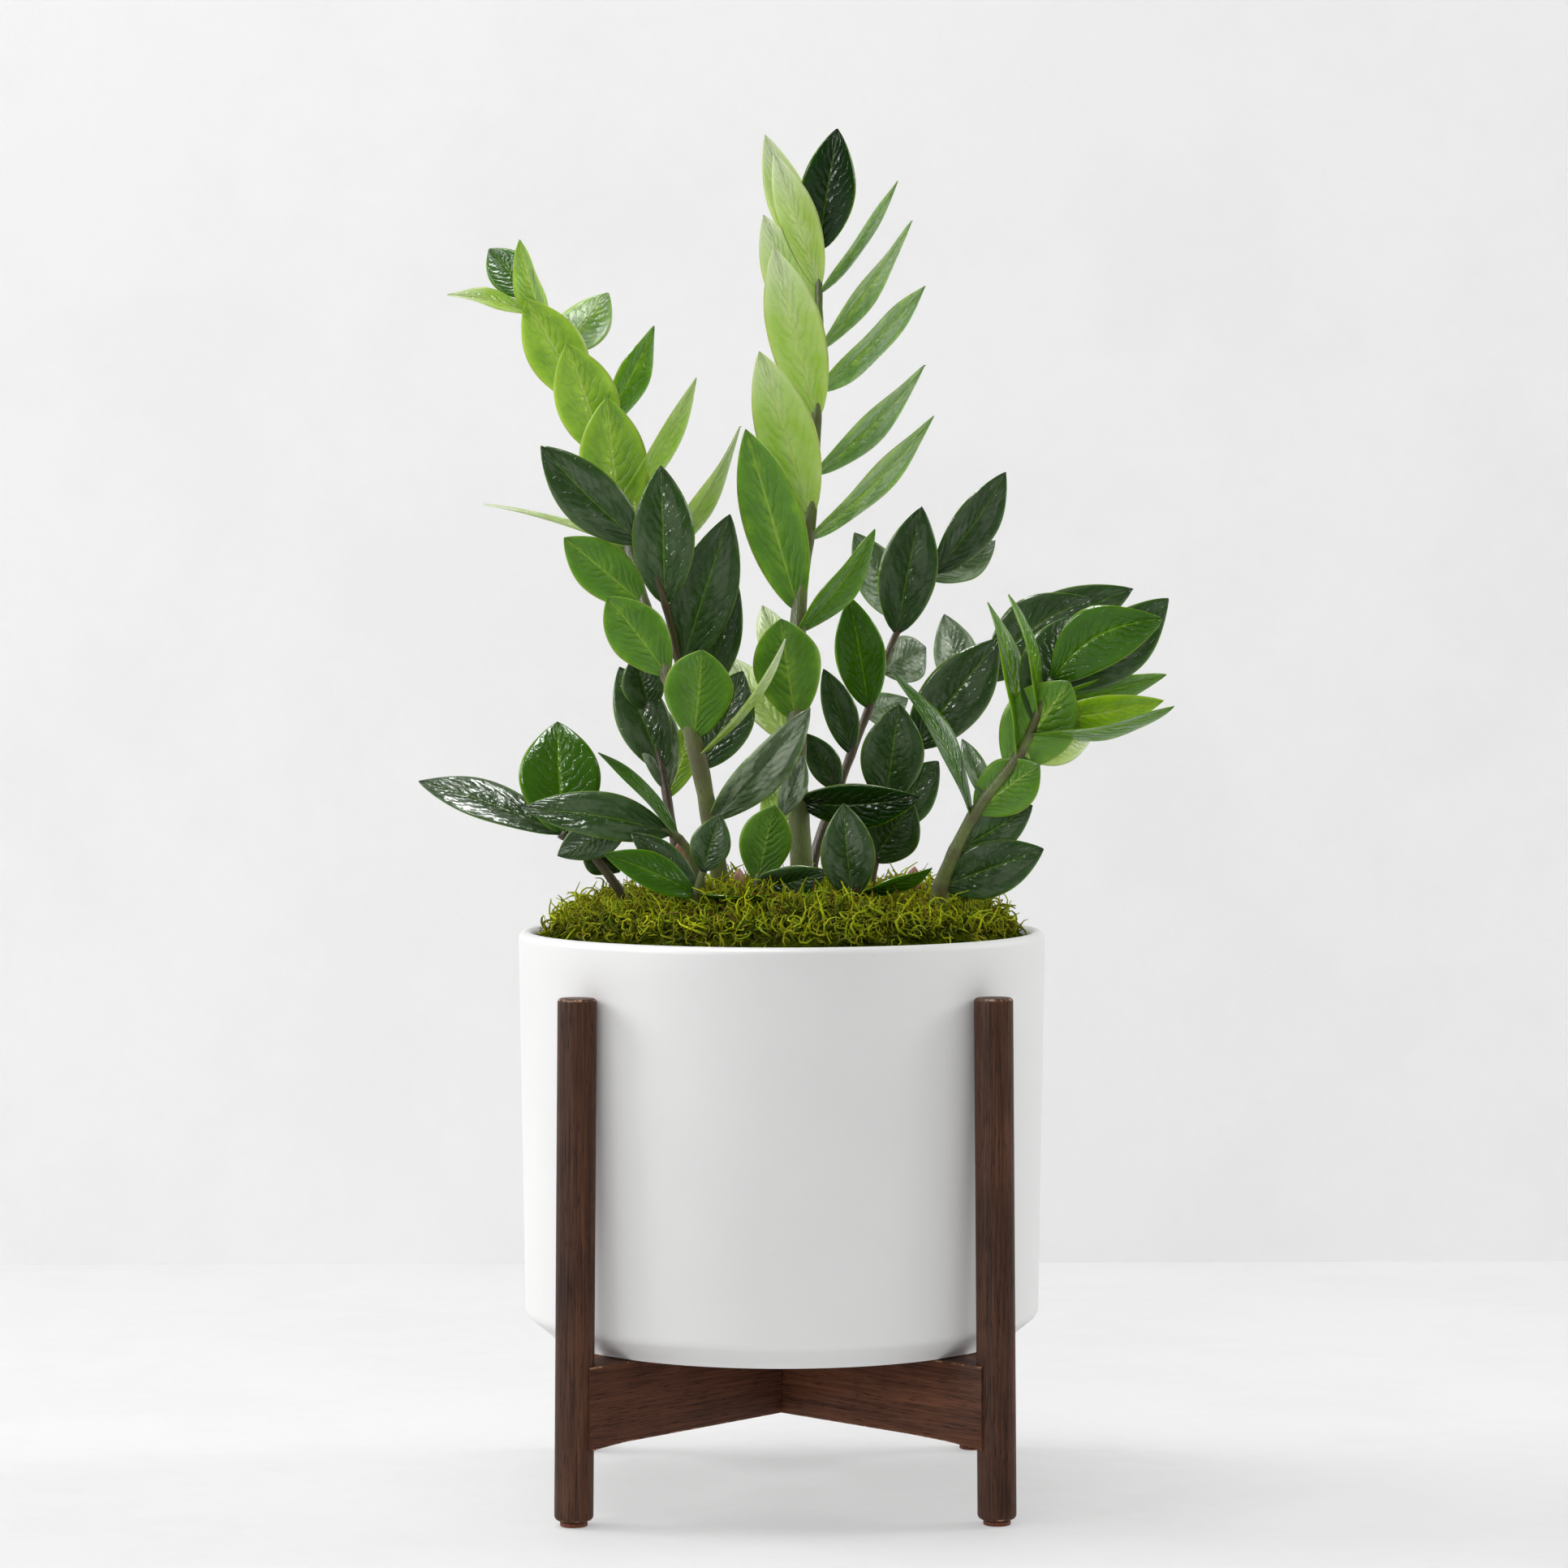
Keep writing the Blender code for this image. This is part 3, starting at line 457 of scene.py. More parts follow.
def noise_value(tree, vector, scale, detail=3.0, roughness=0.55):
    node = new_node(tree, "ShaderNodeTexNoise", {"Vector": vector, "Scale": scale, "Detail": detail,
                                                 "Roughness": roughness})
    return node.outputs["Fac"]


def stretched(tree, vector, scale, turn=(0.0, 0.0, 0.0)):
    node = new_node(tree, "ShaderNodeMapping", {"Vector": vector, "Rotation": turn, "Scale": scale})
    return node.outputs[0]


def object_coordinates(tree):
    return tree.nodes.new("ShaderNodeTexCoord").outputs["Object"]


def new_group(name, inputs, outputs):
    """Shader node group with its sockets, and its two end nodes."""
    kinds = {"f": "NodeSocketFloat", "c": "NodeSocketColor", "v": "NodeSocketVector"}
    tree = bpy.data.node_groups.new(name, "ShaderNodeTree")
    for label, kind, value in inputs:
        socket = tree.interface.new_socket(label, in_out="INPUT", socket_type=kinds[kind])
        if value is not None:
            socket.default_value = value
    for label, kind in outputs:
        tree.interface.new_socket(label, in_out="OUTPUT", socket_type=kinds[kind])
    return tree, tree.nodes.new("NodeGroupInput").outputs, tree.nodes.new("NodeGroupOutput").inputs


def place_group(tree, group, inputs):
    node = tree.nodes.new("ShaderNodeGroup")
    node.node_tree = group
    for key, value in inputs.items():
        if isinstance(value, bpy.types.NodeSocket):
            tree.links.new(value, node.inputs[key])
        else:
            node.inputs[key].default_value = value
    return node.outputs


def new_material(name, **constants):
    """Material with a Principled shader; constants are set on the shader's own sockets."""
    material = bpy.data.materials.new(name)
    material.use_nodes = True
    shader = material.node_tree.nodes["Principled BSDF"]
    for label, value in constants.items():
        shader.inputs[label.replace("_", " ")].default_value = value
    return material, material.node_tree, shader.inputs


def surface(tree, shader, colour, roughness, height, distance):
    """Join colour, roughness and a height in metres to the shader's sockets."""
    relief = new_node(tree, "ShaderNodeBump", {"Height": height, "Distance": distance, "Strength": 1.0})
    for label, value in (("Base Color", colour), ("Roughness", roughness), ("Normal", relief.outputs[0])):
        tree.links.new(value, shader[label])


# ---------------------------------------------------------------- shared surface effects

def make_grain_group():
    """Stained open-grain wood along the vector's X: streak colour, pore mask and height."""
    tree, given, out = new_group(
        "wood_grain",
        [("Vector", "v", None), ("Dark", "c", (0.02, 0.01, 0.006, 1)), ("Light", "c", (0.1, 0.05, 0.03, 1)),
         ("Wear", "f", 0.0), ("Wear Colour", "c", (0.3, 0.16, 0.08, 1))],
        [("Colour", "c"), ("Roughness", "f"), ("Height", "f")])
    warp = noise_value(tree, stretched(tree, given["Vector"], (5, 30, 30)), 1.0, 2.0)
    shift = new_node(tree, "ShaderNodeCombineXYZ", {"Y": times(tree, warp, 0.0022)})
    bent = new_node(tree, "ShaderNodeVectorMath", {0: given["Vector"], 1: shift.outputs[0]}, operation="ADD")
    vector = bent.outputs[0]
    bands = noise_value(tree, stretched(tree, vector, (3, 90, 90)), 1.0, 4.0, 0.6)
    fibres = noise_value(tree, stretched(tree, vector, (26, 1300, 1300)), 1.0, 3.0, 0.6)
    pores = noise_value(tree, stretched(tree, vector, (110, 2600, 2600)), 1.0, 1.0, 0.4)
    pore_mask = remap(tree, pores, 0.62, 0.72)
    blotch = noise_value(tree, given["Vector"], 20.0, 3.0)
    tone = plus(tree, times(tree, bands, 0.45), times(tree, fibres, 0.55))
    tone = plus(tree, remap(tree, tone, 0.3, 0.72), minus(tree, blotch, 0.5))
    colour = blend_colour(tree, tone, given["Dark"], given["Light"])
    colour = blend_colour(tree, times(tree, pore_mask, 0.6), colour, (0.008, 0.003, 0.002))
    worn = times(tree, given["Wear"],
                 remap(tree, noise_value(tree, given["Vector"], 240.0, 3.0, 0.7), 0.47, 0.6))
    colour = blend_colour(tree, worn, colour, given["Wear Colour"])
    tree.links.new(colour, out["Colour"])
    rough = plus(tree, 0.4, times(tree, fibres, 0.22))
    tree.links.new(plus(tree, rough, times(tree, pore_mask, 0.2)), out["Roughness"])
    height = minus(tree, times(tree, fibres, 0.5), pore_mask)
    tree.links.new(height, out["Height"])
    return tree


def make_vein_group():
    """Markings of a leaflet from its own map: U runs across the blade and V from stalk to tip. Among them are
    masks for painted sheen patches and for painted glare at the tip.
    """
    tree, given, out = new_group(
        "leaf_veins", [("Map", "v", None), ("Place", "v", None)],
        [("Midrib", "f"), ("Veins", "f"), ("Rim", "f"), ("Mottle", "f"), ("Painted Sheen", "f"), ("Tip", "f"),
         ("Inner", "f"), ("Height", "f")])
    parts = new_node(tree, "ShaderNodeSeparateXYZ", {0: given["Map"]}).outputs
    side = maths(tree, "ABSOLUTE", times(tree, minus(tree, parts[0], 0.5), 2.0))
    midrib = remap(tree, side, 0.015, 0.07, 1.0, 0.0)
    wander = noise_value(tree, stretched(tree, given["Map"], (5, 9, 1)), 1.0, 2.0)
    climb = minus(tree, times(tree, parts[1], VEIN_PAIRS), times(tree, side, VEIN_SLANT))
    phase = plus(tree, climb, times(tree, wander, 1.6))
    wave = maths(tree, "SINE", times(tree, phase, math.tau))
    veins = remap(tree, wave, 0.80, 1.0)
    veins = times(tree, veins, remap(tree, side, 0.5, 1.0, 1.0, 0.15))
    swells = times(tree, wave, remap(tree, side, 0.0, 0.9, 1.0, 0.0))
    mottle = noise_value(tree, given["Place"], 95.0, 5.0, 0.6)
    pucker = noise_value(tree, given["Place"], 85.0, 2.0, 0.5)
    fine = noise_value(tree, given["Place"], 620.0, 2.0, 0.5)
    tree.links.new(midrib, out["Midrib"])
    tree.links.new(veins, out["Veins"])
    tree.links.new(remap(tree, side, 0.93, 0.99), out["Rim"])
    tree.links.new(mottle, out["Mottle"])
    # Painted sheen: stretched streaks with a little breakup make broad patches that stand for glare.
    streaks = noise_value(tree, stretched(tree, given["Map"], (3.2, 2.6, 1)), 1.0, 2.0)
    broken = noise_value(tree, given["Place"], 330.0, 4.0, 0.65)
    patches = plus(tree, times(tree, streaks, 0.84), times(tree, broken, 0.16))
    tree.links.new(remap(tree, patches, 0.4, 0.6), out["Painted Sheen"])
    tree.links.new(remap(tree, parts[1], 0.45, 1.0), out["Tip"])
    height = plus(tree, times(tree, pucker, 0.6), times(tree, fine, 0.07))
    height = minus(tree, height, times(tree, veins, 0.08))
    height = minus(tree, height, times(tree, swells, 0.11))
    height = minus(tree, height, times(tree, midrib, 0.16))
    inner = times(tree, remap(tree, side, 0.05, 0.45), remap(tree, side, 0.55, 1.0, 1.0, 0.0))
    tree.links.new(inner, out["Inner"])
    tree.links.new(height, out["Height"])
    return tree


GRAIN = make_grain_group()
VEINS = make_vein_group()


# ---------------------------------------------------------------- materials

# Leaf colour by tone. The lime, light and pale stops are partly the leaves' own colour and partly painted
# glow of light shining through them.
TONES = (
    (0.0, (0.005, 0.022, 0.001)),
    (0.2, (0.015, 0.056, 0.001)),
    (0.48, (0.040, 0.130, 0.001)),
    (0.68, (0.098, 0.255, 0.001)),
    (0.84, (0.32, 0.54, 0.012)),
    (0.93, (0.43, 0.60, 0.12)),
    (1.0, (0.50, 0.66, 0.21)),
)
# Pale grey green: the colour of the veins and the paler undersides, and of the painted sheen patches.
PALE_GREEN_AND_SHEEN = (0.48, 0.54, 0.42)
RIM_LIME = (0.22, 0.42, 0.02)
RIM_PALE = (0.58, 0.74, 0.16)
RIB_DARK = (0.06, 0.13, 0.02)
WOOD_WORN = (0.42, 0.23, 0.12)
# Whitish green of the painted glare on the tips of the palest leaflets.
TIP_GLARE = (0.80, 0.87, 0.66)


def leaf_material(name, roughness, glow):
    """Waxy leaf skin. The piece's "leaf" attribute holds tone, underside and grey share; the grey share
    paints sheen in broad patches.
    """
    material, tree, shader = new_material(name, Subsurface_Weight=glow, Subsurface_Scale=0.0025, IOR=1.45,
                                          Specular_IOR_Level=0.32)
    shader["Subsurface Radius"].default_value = (0.6, 1.0, 0.15)
    look = new_node(tree, "ShaderNodeVertexColor", layer_name="leaf").outputs[0]
    tone, under, bloom_and_sheen = new_node(tree, "ShaderNodeSeparateColor", {0: look}).outputs
    uv = new_node(tree, "ShaderNodeUVMap", uv_map="blade").outputs[0]
    mark = place_group(tree, VEINS, {"Map": uv, "Place": object_coordinates(tree)})
    ramp = new_node(tree, "ShaderNodeValToRGB")
    stops = ramp.color_ramp.elements
    for place, colour in TONES[2:]:
        stops.new(place)
    for stop, (place, colour) in zip(stops, TONES):
        stop.position = place
        stop.color = (*colour, 1.0)
    varied = plus(tree, tone, times(tree, minus(tree, mark["Mottle"], 0.5), 0.28))
    varied = minus(tree, varied, times(tree, mark["Inner"], 0.06))
    tree.links.new(varied, ramp.inputs[0])
    vein_share = times(tree, mark["Veins"], remap(tree, tone, 0.2, 0.9, 0.01, 0.12))
    colour = blend_colour(tree, vein_share, ramp.outputs[0], PALE_GREEN_AND_SHEEN)
    under_share = times(tree, under, remap(tree, tone, 0.1, 0.9, 0.0, 0.06))
    colour = blend_colour(tree, under_share, colour, PALE_GREEN_AND_SHEEN)
    # Painted sheen: broad pale grey green patches stand for glare on the leaf surface.
    silver = times(tree, bloom_and_sheen, remap(tree, mark["Painted Sheen"], 0.0, 1.0, 0.3, 1.15))
    colour = blend_colour(tree, silver, colour, PALE_GREEN_AND_SHEEN)
    # Painted highlight: the tips of the palest leaflets are washed towards whitish green as glare.
    pale = times(tree, mark["Tip"], remap(tree, tone, 0.86, 0.98, 0.0, 0.75))
    colour = blend_colour(tree, pale, colour, TIP_GLARE)
    rim = blend_colour(tree, remap(tree, tone, 0.5, 0.9), RIM_LIME, RIM_PALE)
    rib = blend_colour(tree, remap(tree, bloom_and_sheen, 0.25, 0.4), rim, RIB_DARK)
    colour = blend_colour(tree, times(tree, mark["Midrib"], remap(tree, tone, 0.0, 0.7, 0.14, 0.5)),
                          colour, rib)
    edge = times(tree, mark["Rim"], remap(tree, tone, 0.0, 0.5, 0.35, 0.75))
    colour = blend_colour(tree, edge, colour, rim)
    rough = plus(tree, roughness, times(tree, mark["Mottle"], 0.14))
    rough = plus(tree, rough, times(tree, under, 0.12))
    surface(tree, shader, colour, rough, mark["Height"], 0.0022)
    return material


def petiole_material():
    """Stem skin: olive to purple brown with small lengthwise flecks, by the "stem" attribute."""
    material, tree, shader = new_material("petiole_skin", IOR=1.45, Subsurface_Weight=0.1,
                                          Subsurface_Scale=0.002)
    look = new_node(tree, "ShaderNodeVertexColor", layer_name="stem").outputs[0]
    height, brown, joint = new_node(tree, "ShaderNodeSeparateColor", {0: look}).outputs
    place = object_coordinates(tree)
    flecks = noise_value(tree, stretched(tree, place, (1400, 1400, 330)), 1.0, 2.0, 0.6)
    patches = noise_value(tree, stretched(tree, place, (150, 150, 45)), 1.0, 3.0, 0.6)
    green = blend_colour(tree, height, (0.17, 0.2, 0.06), (0.13, 0.22, 0.035))
    dark = blend_colour(tree, patches, (0.035, 0.02, 0.014), (0.11, 0.07, 0.035))
    colour = blend_colour(tree, brown, green, dark)
    fleck = times(tree, remap(tree, flecks, 0.58, 0.7), 0.55)
    colour = blend_colour(tree, fleck, colour, (0.05, 0.026, 0.02))
    colour = blend_colour(tree, times(tree, joint, 0.6), colour, (0.06, 0.03, 0.018))
    surface(tree, shader, colour, remap(tree, patches, 0.3, 0.7, 0.34, 0.52), flecks, 0.0004)
    return material


def sheath_material():
    """Papery scale at the foot of a stem: beige pink with darker lengthwise fibres."""
    material, tree, shader = new_material("sheath_paper", Subsurface_Weight=0.15, Subsurface_Scale=0.002)
    place = object_coordinates(tree)
    fibres = noise_value(tree, stretched(tree, place, (900, 900, 60)), 1.0, 3.0, 0.6)
    blush = noise_value(tree, place, 120.0, 2.0)
    colour = blend_colour(tree, remap(tree, fibres, 0.35, 0.65), (0.3, 0.13, 0.08), (0.62, 0.4, 0.27))
    colour = blend_colour(tree, remap(tree, blush, 0.45, 0.65, 0.0, 0.6), colour, (0.42, 0.13, 0.08))
    surface(tree, shader, colour, remap(tree, fibres, 0.3, 0.7, 0.5, 0.75), fibres, 0.0005)
    return material


def glaze_material():
    """Matte white glaze: faint cloudiness, orange-peel ripple and a few pinholes."""
    material, tree, shader = new_material("matte_glaze", IOR=1.5)
    place = object_coordinates(tree)
    cloud = noise_value(tree, place, 9.0, 3.0)
    speck = noise_value(tree, place, 800.0, 1.0)
    ripple = noise_value(tree, place, 130.0, 2.0)
    colour = blend_colour(tree, cloud, (0.70, 0.70, 0.695), (0.765, 0.765, 0.76))
    pin = remap(tree, speck, 0.78, 0.84)
    colour = blend_colour(tree, times(tree, pin, 0.3), colour, (0.45, 0.43, 0.4))
    height = plus(tree, times(tree, ripple, 0.5), times(tree, pin, -0.6))
    surface(tree, shader, colour, remap(tree, cloud, 0.3, 0.7, 0.44, 0.56), height, 0.00025)
    return material


def wood_material(name, turn, dark, light):
    """Stained wood with its grain along one direction; the "wear" attribute lightens its edges."""
    material, tree, shader = new_material(name, IOR=1.5, Specular_IOR_Level=0.15)
    vector = stretched(tree, object_coordinates(tree), (1, 1, 1), turn)
    wear = new_node(tree, "ShaderNodeAttribute", attribute_name="wear").outputs["Fac"]
    grain = place_group(tree, GRAIN, {"Vector": vector, "Dark": (*dark, 1), "Light": (*light, 1),
                                      "Wear": wear, "Wear Colour": (*WOOD_WORN, 1)})
    surface(tree, shader, grain["Colour"], grain["Roughness"], grain["Height"], 0.00022)
    return material


def pad_material():
    """Pressed felt pad: reddish brown with short fibres."""
    material, tree, shader = new_material("pressed_felt", Sheen_Weight=0.2, Specular_IOR_Level=0.05)
    place = object_coordinates(tree)
    fibres = noise_value(tree, place, 1500.0, 4.0, 0.7)
    colour = blend_colour(tree, remap(tree, fibres, 0.35, 0.65), (0.07, 0.022, 0.012), (0.24, 0.08, 0.045))
    surface(tree, shader, colour, remap(tree, fibres, 0.3, 0.7, 0.8, 0.95), fibres, 0.0005)
    return material


def earth_material():
    """Potting soil: dark crumbs with paler bits of bark."""
    material, tree, shader = new_material("potting_soil", Specular_IOR_Level=0.05)
    place = object_coordinates(tree)
    crumbs = new_node(tree, "ShaderNodeTexVoronoi", {"Vector": place, "Scale": 260.0}).outputs["Distance"]
    bits = noise_value(tree, place, 330.0, 3.0)
    colour = blend_colour(tree, crumbs, (0.012, 0.008, 0.005), (0.06, 0.04, 0.026))
    colour = blend_colour(tree, remap(tree, bits, 0.62, 0.7), colour, (0.2, 0.14, 0.09))
    surface(tree, shader, colour, remap(tree, bits, 0.3, 0.7, 0.85, 1.0), crumbs, 0.003)
    return material


def moss_mat_material():
    """Shaded bed of the moss under its strands."""
    material, tree, shader = new_material("moss_bed", Specular_IOR_Level=0.0)
    place = object_coordinates(tree)
    lumps = noise_value(tree, place, 160.0, 5.0, 0.7)
    colour = blend_colour(tree, remap(tree, lumps, 0.35, 0.65), (0.006, 0.010, 0.001), (0.075, 0.095, 0.003))
    surface(tree, shader, colour, remap(tree, lumps, 0.3, 0.7, 0.9, 1.0), lumps, 0.006)
    return material


def strand_material(name, root, low, high):
    """Moss strand: "tint" differs from strand to strand, and "along" runs from its root to its tip and paints
    shade at the root.
    """
    material, tree, shader = new_material(name, Subsurface_Weight=0.12, Subsurface_Scale=0.001,
                                          Specular_IOR_Level=0.06)
    tint = new_node(tree, "ShaderNodeAttribute", attribute_name="tint").outputs["Fac"]
    along = new_node(tree, "ShaderNodeAttribute", attribute_name="along").outputs["Fac"]
    barbs = noise_value(tree, object_coordinates(tree), 1300.0, 2.0)
    colour = blend_colour(tree, tint, low, high)
    colour = blend_colour(tree, remap(tree, barbs, 0.35, 0.65, 0.0, 0.45), colour, low)
    # Painted shade: each strand darkens towards its root, where the strands shade each other.
    colour = blend_colour(tree, remap(tree, along, 0.0, 0.6, 0.85, 0.0), colour, root)
    surface(tree, shader, colour, remap(tree, barbs, 0.3, 0.7, 0.55, 0.8), barbs, 0.0006)
    return material


# ---------------------------------------------------------------- turned pieces

def give_out(tree, last, finish):
    """End a geometry tree: the material is set on what the last node makes."""
    painted = new_node(tree, "GeometryNodeSetMaterial", {"Geometry": last.outputs[0], "Material": finish})
    tree.links.new(painted.outputs[0], tree.nodes.new("NodeGroupOutput").inputs[0])
    return tree


def make_turning_tree():
    """Geometry Nodes lathe: turns a profile of points in XZ about the Z axis."""
    tree = bpy.data.node_groups.new("turned_piece", "GeometryNodeTree")
    tree.interface.new_socket("Profile", in_out="INPUT", socket_type="NodeSocketGeometry")
    tree.interface.new_socket("Segments", in_out="INPUT", socket_type="NodeSocketInt")
    tree.interface.new_socket("Finish", in_out="INPUT", socket_type="NodeSocketMaterial")
    tree.interface.new_socket("Turned", in_out="OUTPUT", socket_type="NodeSocketGeometry")
    given = tree.nodes.new("NodeGroupInput").outputs
    count = new_node(tree, "GeometryNodeAttributeDomainSize", {0: given["Profile"]}).outputs["Point Count"]
    around = plus(tree, given["Segments"], 1)
    grid = new_node(tree, "GeometryNodeMeshGrid", {"Vertices X": around, "Vertices Y": count})
    index = tree.nodes.new("GeometryNodeInputIndex").outputs[0]
    column = maths(tree, "FLOOR", maths(tree, "DIVIDE", plus(tree, index, 0.5), count))
    row = minus(tree, index, times(tree, column, count))
    point = tree.nodes.new("GeometryNodeInputPosition").outputs[0]
    sampled = new_node(tree, "GeometryNodeSampleIndex", data_type="FLOAT_VECTOR")
    worn = new_node(tree, "GeometryNodeSampleIndex", data_type="FLOAT")
    wear = new_node(tree, "GeometryNodeInputNamedAttribute", {"Name": "wear"}, data_type="FLOAT").outputs[0]
    for sampler, value in ((sampled, point), (worn, wear)):
        tree.links.new(given["Profile"], sampler.inputs["Geometry"])
        tree.links.new(value, sampler.inputs["Value"])
        tree.links.new(row, sampler.inputs["Index"])
    parts = new_node(tree, "ShaderNodeSeparateXYZ", {0: sampled.outputs[0]}).outputs
    angle = maths(tree, "DIVIDE", times(tree, column, math.tau), given["Segments"])
    place = new_node(tree, "ShaderNodeCombineXYZ", {
        "X": times(tree, parts["X"], maths(tree, "COSINE", angle)),
        "Y": times(tree, parts["X"], maths(tree, "SINE", angle)), "Z": parts["Z"]}).outputs[0]
    moved = new_node(tree, "GeometryNodeSetPosition", {"Geometry": grid.outputs["Mesh"], "Position": place})
    stored = new_node(tree, "GeometryNodeStoreNamedAttribute",
                      {"Geometry": moved.outputs[0], "Name": "wear", "Value": worn.outputs[0]},
                      data_type="FLOAT", domain="POINT")
    closed = new_node(tree, "GeometryNodeMergeByDistance",
                      {"Geometry": stored.outputs[0], "Distance": AXIS_WELD})
    smooth = new_node(tree, "GeometryNodeSetShadeSmooth", {"Geometry": closed.outputs[0]})
    return give_out(tree, smooth, given["Finish"])


def set_inputs(modifier, values):
    """Values by the name of each input of the modifier's node tree."""
    for item in modifier.node_group.interface.items_tree:
        if item.item_type == "SOCKET" and item.in_out == "INPUT" and item.name in values:
            modifier[item.identifier] = values[item.name]


def plain_mesh(source, name):
    """The evaluated source as a plain mesh; the source is removed."""
    bpy.context.view_layer.update()
    graph = bpy.context.evaluated_depsgraph_get()
    mesh = bpy.data.meshes.new_from_object(source.evaluated_get(graph), preserve_all_data_layers=True,
                                           depsgraph=graph)
    bpy.data.objects.remove(source, do_unlink=True)
    mesh.name = name
    return mesh


def turned(name, profile, segments, material, worn=()):
    """Turned piece from a closed profile that starts and ends on the axis; worn lists (low, high) heights."""
    mesh = bpy.data.meshes.new(name)
    mesh.from_pydata([(x, 0.0, z) for x, z in profile], [(i, i + 1) for i in range(len(profile) - 1)], [])
    wear = mesh.attributes.new("wear", "FLOAT", "POINT")
    rubbed = [1.0 if any(low <= z <= high for low, high in worn) else 0.0 for x, z in profile]
    wear.data.foreach_set("value", rubbed)
    source = link(name + "_profile", mesh)
    modifier = source.modifiers.new("turn", "NODES")
    modifier.node_group = TURNING
    set_inputs(modifier, {"Segments": segments, "Finish": material})
    made = plain_mesh(source, name)
    work = bmesh.new()
    work.from_mesh(made)
    if work.calc_volume(signed=True) < 0:
        bmesh.ops.reverse_faces(work, faces=work.faces)
    work.to_mesh(made)
    work.free()
    return made


TURNING = make_turning_tree()


def make_pot():
    """Pot turned from its floor inside, up over the rim and down to its stepped-in foot."""
    low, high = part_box("pot")
    rim, base, radius = high.z, low.z, high.x
    lip = POT_WALL / 2

    def outer(z):
        return radius - POT_DRAFT * (rim - z) / (rim - base)

    shoulder = base + POT_FOOT_RISE
    wall_foot = outer(shoulder)
    foot = wall_foot - POT_FOOT_INSET
    cove = POT_COVE
    floor_radius = outer(base + POT_FLOOR + cove) - POT_WALL - POT_FOOT_INSET * 0.6 - cove
    inner_low = (outer(shoulder + cove) - POT_WALL, shoulder + cove)
    inner_high = (outer(rim - lip) - POT_WALL, rim - lip)
    profile = [(0.0, base + POT_FLOOR)] + run((0.0, base + POT_FLOOR), (floor_radius, base + POT_FLOOR), 5)
    profile += arc((floor_radius, base + POT_FLOOR + cove), cove, -90, -35, 5) + [inner_low]
    profile += run(inner_low, inner_high, 8) + [inner_high]
    profile += arc((radius - lip, rim - lip), lip, 180, 0, 14)[1:]
    side_low = (wall_foot, shoulder + 3 * MM)
    profile += run((radius, rim - lip), side_low, 14) + [side_low]
    curve = arc((wall_foot - POT_FOOT_ROUND, shoulder), POT_FOOT_ROUND, 0, -50, 7)
    profile += curve
    toe = arc((foot - POT_TOE_ROUND, base + POT_TOE_ROUND), POT_TOE_ROUND, -15, -90, 4)
    profile += run(curve[-1], toe[0], 4) + toe + run(toe[-1], (0.0, base), 5) + [(0.0, base)]
    piece = link("ceramic_pot", turned("ceramic_pot", profile, 144, GLAZE))
    finish_piece(piece, slot_of("pot"), "pot")


def make_leg(place, side_x, side_y):
    """Round leg that leans out a little towards its foot, with rounded and rubbed ends."""
    node = "leg_" + place
    pad_low, pad_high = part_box("foot_pad_" + place)
    low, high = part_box(node)
    foot = Vector(((pad_low.x + pad_high.x) / 2, (pad_low.y + pad_high.y) / 2, low.z + LEG_END_GAP))
    reach_x = low.x + LEG_RADIUS if side_x > 0 else high.x - LEG_RADIUS
    reach_y = low.y + LEG_RADIUS if side_y > 0 else high.y - LEG_RADIUS
    head = Vector((reach_x, reach_y, high.z - LEG_END_GAP))
    length = (head - foot).length
    toe, top = LEG_FOOT_ROUND, LEG_TOP_ROUND
    profile = [(0.0, 0.0), (0.45 * LEG_RADIUS, 0.0)] + arc((LEG_RADIUS - toe, toe), toe, -90, 0, 6)
    side_low, side_high = (LEG_RADIUS, toe), (LEG_RADIUS, length - top)
    profile += run(side_low, side_high, 40) + arc((LEG_RADIUS - top, length - top), top, 0, 90, 6)
    profile += [(0.45 * LEG_RADIUS, length), (0.0, length)]
    worn = (LEG_RUB, (length - LEG_TOP_RUB, length - LEG_RUB[0]))
    mesh = turned(node + "_turned", profile, 48, LEG_WOOD, worn)
    turn = Vector((0, 0, 1)).rotation_difference(head - foot).to_matrix().to_4x4()
    mesh.transform(Matrix.Translation(foot) @ turn)
    finish_piece(link(node + "_turned", mesh), slot_of(node), node)


def make_pad(place):
    """Thin round pad with rounded edges, in the box of its node."""
    node = "foot_pad_" + place
    low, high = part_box(node)
    radius, height = (high.x - low.x) / 2, high.z - low.z
    profile = [(0.0, 0.0)] + arc((radius - PAD_ROUND, PAD_ROUND), PAD_ROUND, -90, 0, 4)
    profile += arc((radius - PAD_ROUND, height - PAD_ROUND), PAD_ROUND, 0, 90, 4) + [(0.0, height)]
    mesh = turned(node + "_felt", profile, 40, PAD_FELT)
    mesh.transform(Matrix.Translation(((low.x + high.x) / 2, (low.y + high.y) / 2, low.z)))
    finish_piece(link(node + "_felt", mesh), slot_of(node), node)


